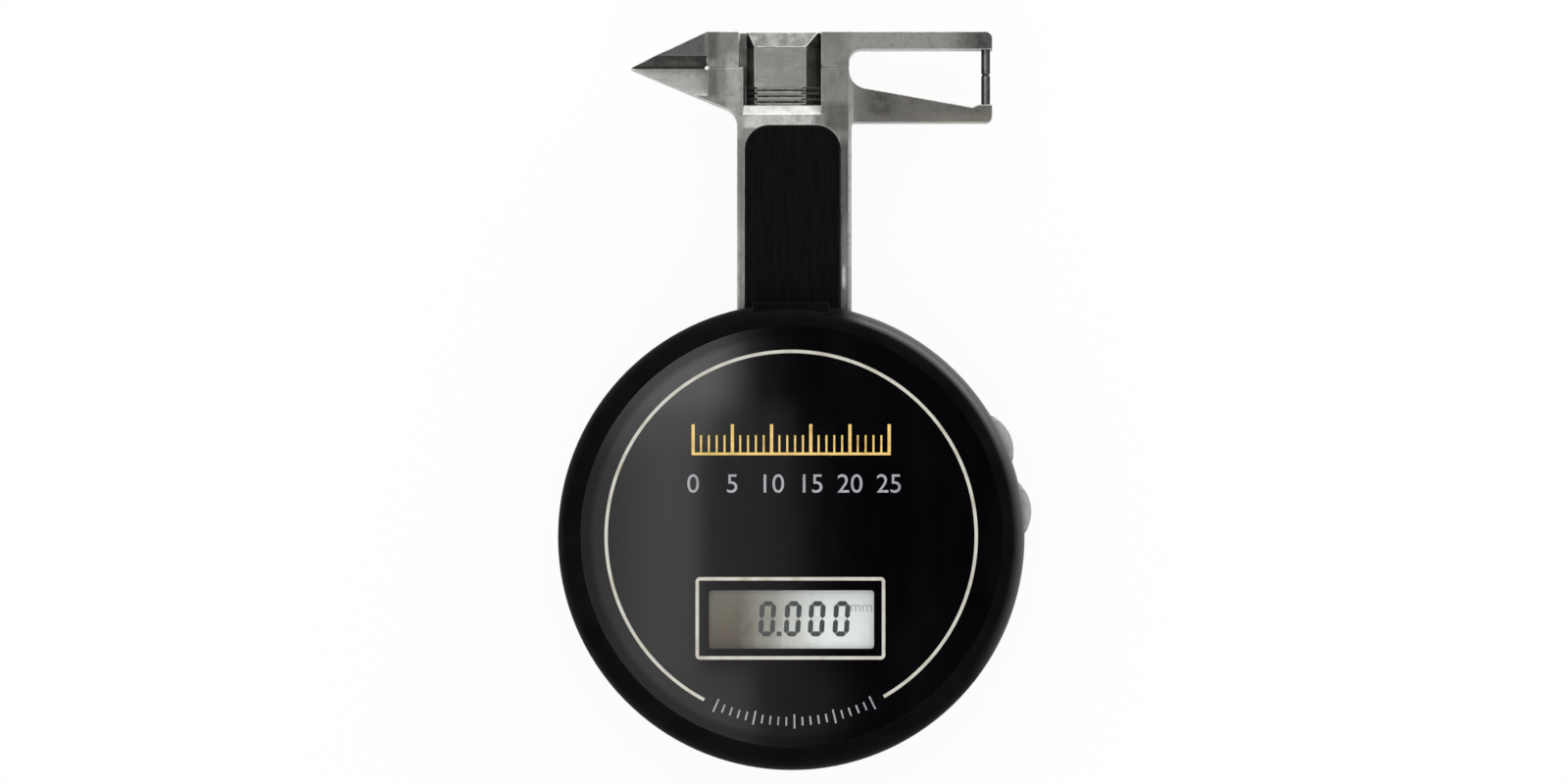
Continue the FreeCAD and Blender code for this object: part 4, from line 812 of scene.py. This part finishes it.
def dress_nodes():
    """Gives every CAD node the paint of its slot."""
    for node, obj in frame["nodes"].items():
        dress(obj, paints[slot_of[node]])


def make_ring():
    """Printed ring round the face, broken at its foot."""
    start = math.radians(ring_gap_end - 360)
    end = math.radians(ring_gap_start)
    directions = []
    for index in range(ring_steps + 1):
        angle = start + (end - start) * index / ring_steps
        directions.append(Vector((math.cos(angle), math.sin(angle))))
    outer = [direction * (ring_radius + ring_width / 2) for direction in directions]
    inner = [direction * (ring_radius - ring_width / 2) for direction in directions]
    bm = bmesh.new()
    band(bm, outer, inner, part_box("face_panel")[1].z, False)
    house_piece("printed_ring", bm, cream_paint)


def rounded_rectangle(left, right, bottom, top, radius, steps=8):
    """Corners of a rectangle in plan, with its four bends in this many steps."""
    corners = []
    places = (
        (right - radius, top - radius, 0),
        (left + radius, top - radius, 90),
        (left + radius, bottom + radius, 180),
        (right - radius, bottom + radius, 270),
    )
    for x, y, start in places:
        for index in range(steps + 1):
            angle = math.radians(start + 90 * index / steps)
            corners.append((x + radius * math.cos(angle), y + radius * math.sin(angle)))
    return corners


def make_border():
    """Printed line with round corners, framing the display."""
    outer = rounded_rectangle(border_left, border_right, border_bottom, border_top, border_corner)
    inner = rounded_rectangle(border_left + border_width, border_right - border_width,
                              border_bottom + border_width, border_top - border_width,
                              border_corner - border_width)
    bm = bmesh.new()
    band(bm, outer, inner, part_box("face_panel")[1].z, True)
    house_piece("display_border", bm, cream_paint)


def segment_corners(x, y, long_side, upright):
    """Hexagon of one display segment, with its middle at x and y."""
    half = long_side / 2 - segment_gap
    wide = segment_width / 2
    shape = [(-half, 0), (-half + wide, -wide), (half - wide, -wide), (half, 0),
             (half - wide, wide), (-half + wide, wide)]
    if upright:
        shape = [(-b, a) for a, b in shape]
    points = [(x + a, y + b) for a, b in shape]
    return [(a + (b - digit_bottom_y) * digit_slant, b) for a, b in points]


def add_segments(bm, left, height, levels, uprights):
    """Adds the level segments on some of a digit's levels 0, 1 and 2, and its four upright ones."""
    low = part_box("lcd_glass")[1].z
    x = left * MM + digit_width / 2
    bottom = digit_bottom_y + segment_width / 2
    wide = digit_width - segment_width
    tall = (digit_height - segment_width) / 2
    for level in levels:
        slab(bm, segment_corners(x, bottom + level * tall, wide, False), low, low + height)
    if uprights:
        for side in (-1, 1):
            for level in (0.5, 1.5):
                corners = segment_corners(x + side * wide / 2, bottom + level * tall, tall, True)
                slab(bm, corners, low, low + height)


def make_digits():
    """Four noughts with a point after the first, on the display glass."""
    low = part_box("lcd_glass")[1].z
    bm = bmesh.new()
    for left in digit_boxes_left:
        add_segments(bm, left, print_height, (0, 2), True)
    half = segment_width / 2
    point = rounded_rectangle(point_x - half, point_x + half, digit_bottom_y,
                              digit_bottom_y + segment_width, half * point_corner_share,
                              point_corner_steps)
    slab(bm, point, low, low + print_height)
    house_piece("lcd_digits", bm, lcd_ink)


def make_unlit_segments():
    """Segments that the display doesn't drive, just darker than its glass."""
    bm = bmesh.new()
    pitch = digit_boxes_left[1] - digit_boxes_left[0]
    add_segments(bm, digit_boxes_left[0] - pitch, print_height / 2, (1, 0, 2), True)
    for left in digit_boxes_left:
        add_segments(bm, left, print_height / 2, (1,), False)
    house_piece("unlit_segments", bm, ghost_paint)


def make_scale():
    """Gold graduations across the upper face, a generic millimetre scale."""
    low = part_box("face_panel")[1].z
    bm = bmesh.new()
    count = round(scale_length)
    for number in range(count + 1):
        x = (number - scale_length / 2) * MM
        if number % numbered_step == 0:
            tall, half = long_line, long_line_half
        else:
            tall, half = short_line, short_line_half
        add_box(bm, (x - half, scale_y, low), (x + half, scale_y + tall, low + print_height))
    edge = scale_length / 2 * MM + long_line_half
    add_box(bm, (-edge, scale_y - base_line_drop, low),
            (edge, scale_y - base_line_gap, low + print_height))
    house_piece("face_scale", bm, gold_paint)


def lettering(name, words, x, y, size, low, paint):
    """Plain characters as a thin raised print."""
    curve = bpy.data.curves.new(name, "FONT")
    curve.body = words
    curve.size = size
    curve.align_x = "CENTER"
    curve.align_y = "CENTER"
    curve.extrude = print_height / 2
    curve.resolution_u = 4
    text = bpy.data.objects.new(name, curve)
    mesh = bpy.data.meshes.new_from_object(text)
    bpy.data.objects.remove(text)
    mesh.transform(Matrix.Translation((x, y, low + print_height / 2)))
    new_piece(name, mesh, "housing", paint)


def make_scale_numbers():
    """Numerals under the long lines of the scale."""
    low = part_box("face_panel")[1].z
    for number in range(0, round(scale_length) + 1, numbered_step):
        x = (number - scale_length / 2) * MM
        lettering("scale_number_%d" % number, str(number), x, scale_numbers_y, numbers_size, low,
                  grey_paint)


def sweep(name, points, radius):
    """Round wire along points, as a mesh."""
    curve = bpy.data.curves.new(name, "CURVE")
    curve.dimensions = "3D"
    curve.bevel_depth = radius
    curve.bevel_resolution = spring_wire_sides
    curve.use_fill_caps = True
    line = curve.splines.new("POLY")
    line.points.add(len(points) - 1)
    for point, place in zip(line.points, points):
        point.co = (*place, 1.0)
    wire = bpy.data.objects.new(name, curve)
    mesh = bpy.data.meshes.new_from_object(wire)
    bpy.data.objects.remove(wire)
    for face in mesh.polygons:
        face.use_smooth = True
    mesh.name = name
    return mesh


def middle(node):
    """Centre of a CAD node's box."""
    low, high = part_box(node)
    return (low + high) / 2


def spring_eye(centre, y, start):
    """Points of the open eye round a post, from an angle in degrees."""
    points = []
    for index in range(spring_eye_steps + 1):
        angle = math.radians(start + spring_eye_arc * index / spring_eye_steps)
        points.append((centre.x + spring_eye_radius * math.cos(angle),
                       y + spring_eye_radius * math.sin(angle), centre.z))
    return points


def make_return_spring():
    """Closed coils of wire with an eye round each post, drawn as at rest."""
    low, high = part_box("return_spring")
    coil_radius = (high.x - low.x) / 2 - spring_wire
    centre = (low + high) / 2
    anchor_y = middle("spring_anchor").y
    post_y = middle("spring_post").y
    first = anchor_y + spring_coil_gap
    last = post_y - spring_coil_gap
    points = spring_eye(centre, anchor_y, 100)
    steps = spring_coil_steps * spring_coils
    for index in range(steps + 1):
        share = index / steps
        reach = coil_radius * min(1.0, index / spring_end_steps, (steps - index) / spring_end_steps)
        angle = math.radians(90 + 360 / spring_coil_steps * index)
        points.append((centre.x + reach * math.cos(angle), first + (last - first) * share,
                       centre.z + reach * math.sin(angle)))
    points += spring_eye(centre, post_y, -90)
    mesh = sweep("spring_wire", points, spring_wire * spring_wire_share)
    obj = bpy.data.objects.new("spring_wire", mesh)
    bpy.context.scene.collection.objects.link(obj)
    dress(obj, paints["spring_steel"])
    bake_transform(obj)
    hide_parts("return_spring")


def make_chip_legs():
    """Bent legs down the four sides of the processor, reaching up to the board."""
    low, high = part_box("processor_chip")
    bm = bmesh.new()
    knee = (low.z + high.z) / 2
    foot = high.z - leg_sink
    # Each leg's shoulder, riser and foot: the shares of its reach and the heights that they span
    spans = (
        (0.0, 0.5, knee - leg_thickness, knee),
        (0.4, 0.55, knee - leg_thickness, foot),
        (0.4, 1.0, foot - leg_thickness, foot),
    )
    for index in range(leg_count):
        share = (index + 0.5) / leg_count
        for edge, reach in ((low, -leg_reach), (high, leg_reach)):
            for axis in (0, 1):
                along = low[1 - axis] + (high[1 - axis] - low[1 - axis]) * share
                for near, far, bottom, top in spans:
                    start, end = sorted((edge[axis] + reach * near, edge[axis] + reach * far))
                    box_low, box_high = [start, along - leg_half], [end, along + leg_half]
                    if axis == 1:
                        box_low.reverse()
                        box_high.reverse()
                    add_box(bm, (*box_low, bottom), (*box_high, top))
    house_piece("chip_legs", bm, paints["plated_metal"])


def make_small_parts():
    """Small soldered resistors and capacitors on the face side of the board."""
    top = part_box("circuit_board")[1].z
    parts = bmesh.new()
    caps = bmesh.new()
    length, width, height = small_part_size
    for x in small_part_columns:
        for y in small_part_rows:
            add_box(parts, (x - length / 2, y - width / 2, top),
                    (x + length / 2, y + width / 2, top + height))
            for end in (x - length / 2, x + length / 2):
                add_box(caps, (end - cap_half, y - width * cap_width_share, top),
                        (end + cap_half, y + width * cap_width_share,
                         top + height * cap_height_share))
    house_piece("small_parts", parts, paints["chip_black"])
    house_piece("small_part_ends", caps, paints["plated_metal"])


def make_ring_ticks():
    """Short plain ticks along the gap at the foot of the ring."""
    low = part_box("face_panel")[1].z
    bm = bmesh.new()
    first = ring_gap_start + tick_margin
    last = ring_gap_end - tick_margin
    for index in range(tick_count):
        angle = math.radians(first + (last - first) * index / (tick_count - 1))
        along = Vector((math.cos(angle), math.sin(angle)))
        side = Vector((-along.y, along.x)) * tick_half
        tall = long_tick if index % numbered_step == 0 else short_tick
        inner = along * (ring_radius - tall)
        outer = along * (ring_radius + tall)
        slab(bm, (inner - side, outer - side, outer + side, inner + side), low,
             low + print_height)
    house_piece("ring_ticks", bm, grey_paint)


def make_floor():
    """Pale floor, white to the camera and in reflections, that keeps a soft shadow."""
    mesh = bpy.data.meshes.new("floor")
    ways = ((-1, -1), (1, -1), (1, 1), (-1, 1))
    mesh.from_pydata([(x * floor_reach, y * floor_reach, 0) for x, y in ways], [], [(0, 1, 2, 3)])
    floor = bpy.data.objects.new("floor", mesh)
    bpy.context.scene.collection.objects.link(floor)
    material = bpy.data.materials.new("floor_pale")
    material.use_nodes = True
    nodes = material.node_tree.nodes
    links = material.node_tree.links
    nodes.clear()
    output = nodes.new("ShaderNodeOutputMaterial")
    matt = nodes.new("ShaderNodeBsdfDiffuse")
    matt.inputs["Color"].default_value = (floor_grey, floor_grey, floor_grey, 1)
    glow = nodes.new("ShaderNodeEmission")
    glow.inputs["Color"].default_value = (1, 1, 1, 1)
    path = nodes.new("ShaderNodeLightPath")
    seen = path.outputs["Is Camera Ray"]
    for ray in ("Is Glossy Ray", "Is Transmission Ray"):
        either = nodes.new("ShaderNodeMath")
        either.operation = "MAXIMUM"
        links.new(seen, either.inputs[0])
        links.new(path.outputs[ray], either.inputs[1])
        seen = either.outputs["Value"]
    share = nodes.new("ShaderNodeMath")
    share.operation = "MULTIPLY"
    share.inputs[1].default_value = floor_white_share
    links.new(seen, share.inputs[0])
    mix = nodes.new("ShaderNodeMixShader")
    links.new(share.outputs["Value"], mix.inputs["Fac"])
    links.new(matt.outputs["BSDF"], mix.inputs[1])
    links.new(glow.outputs["Emission"], mix.inputs[2])
    links.new(mix.outputs["Shader"], output.inputs["Surface"])
    floor.data.materials.append(material)


def make_lamp(name, centre, target, width, height, radiance):
    """Rectangular soft lamp, whose power follows from how bright its face is."""
    data = bpy.data.lights.new(name, "AREA")
    data.shape = "RECTANGLE"
    data.size = width
    data.size_y = height
    data.energy = radiance * math.pi * width * height
    lamp = bpy.data.objects.new(name, data)
    bpy.context.scene.collection.objects.link(lamp)
    lamp.location = centre
    lamp.rotation_mode = "QUATERNION"
    lamp.rotation_quaternion = (Vector(target) - Vector(centre)).to_track_quat("-Z", "Y")
    lamp.visible_camera = False


def mirrored(x, y):
    """Place at the overhead lamps' height that the camera sees mirrored at a point of the face."""
    eye = bpy.context.scene.camera.location
    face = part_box("face_panel")[1].z
    share = (overhead_height - face) / (eye.z - face)
    return x + (x - eye.x) * share, y + (y - eye.y) * share


def make_lights():
    """Overhead lamps that the polished face mirrors, and one low lamp."""
    for index, (*edges, radiance) in enumerate(face_reflections):
        face_left, face_right, face_low, face_high = [edge * MM for edge in edges]
        left, low = mirrored(face_left, face_low)
        right, high = mirrored(face_right, face_high)
        centre = Vector(((left + right) / 2, (low + high) / 2, overhead_height))
        make_lamp("overhead_%d" % index, centre, centre - Vector((0, 0, 1)), right - left,
                  high - low, radiance)
    make_lamp("side_lamp", side_lamp_place, side_lamp_target, *side_lamp_size, side_lamp_radiance)


def make_sky():
    """Pale world that fades to dark overhead and is weaker to the left and right."""
    world = bpy.data.worlds.new("studio")
    bpy.context.scene.world = world
    world.use_nodes = True
    nodes = world.node_tree.nodes
    links = world.node_tree.links
    background = nodes["Background"]
    place = nodes.new("ShaderNodeTexCoord")
    split = nodes.new("ShaderNodeSeparateXYZ")
    links.new(place.outputs["Generated"], split.inputs["Vector"])
    across = nodes.new("ShaderNodeMath")
    across.operation = "ABSOLUTE"
    links.new(split.outputs["X"], across.inputs[0])
    ramp = nodes.new("ShaderNodeMapRange")
    ramp.interpolation_type = "SMOOTHSTEP"
    sides = nodes.new("ShaderNodeMapRange")
    for node, value, ends, first, last in (
            (ramp, split.outputs["Z"], sky_dark_heights, sky_strength, 0.0),
            (sides, across.outputs["Value"], sky_side_fade, 1.0, sky_side_share)):
        links.new(value, node.inputs["Value"])
        node.inputs["From Min"].default_value, node.inputs["From Max"].default_value = ends
        node.inputs["To Min"].default_value = first
        node.inputs["To Max"].default_value = last
    both = nodes.new("ShaderNodeMath")
    both.operation = "MULTIPLY"
    links.new(ramp.outputs["Result"], both.inputs[0])
    links.new(sides.outputs["Result"], both.inputs[1])
    links.new(both.outputs["Value"], background.inputs["Strength"])
    background.inputs["Color"].default_value = (1, 1, 1, 1)


def make_camera():
    """Camera above the face and a little below its normal, framing the photograph."""
    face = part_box("face_panel")[1].z
    target = Vector(((photo_width / 2 - ring_centre_px[0]) * photo_scale,
                     (ring_centre_px[1] - photo_height / 2) * photo_scale, face))
    tilt = math.radians(camera_tilt)
    turn = math.radians(camera_turn)
    away = Vector((math.sin(tilt) * math.cos(turn), math.sin(tilt) * math.sin(turn),
                   math.cos(tilt)))
    data = bpy.data.cameras.new("camera")
    data.sensor_width = sensor_width
    data.lens = sensor_width * camera_distance / (photo_width * photo_scale)
    camera = bpy.data.objects.new("camera", data)
    bpy.context.scene.collection.objects.link(camera)
    camera.location = target + away * camera_distance
    up = Vector((0, 1, 0))
    right = up.cross(away).normalized()
    level = away.cross(right).normalized()
    basis = Matrix((right, level, away)).transposed()
    camera.rotation_mode = "QUATERNION"
    camera.rotation_quaternion = basis.to_quaternion()
    bpy.context.scene.camera = camera


make_camera()
dress_nodes()
for node_name, edge_width in edge_widths.items():
    soften(node_name, edge_width)
make_ring()
make_border()
make_digits()
make_unlit_segments()
lettering("unit_mark", "mm", unit_mark_x, unit_mark_y, unit_mark_size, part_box("lcd_glass")[1].z,
          faint_paint)
make_scale()
make_scale_numbers()
make_ring_ticks()
make_return_spring()
make_chip_legs()
make_small_parts()
make_floor()
make_lights()
make_sky()
bpy.context.scene.view_settings.view_transform = "Standard"
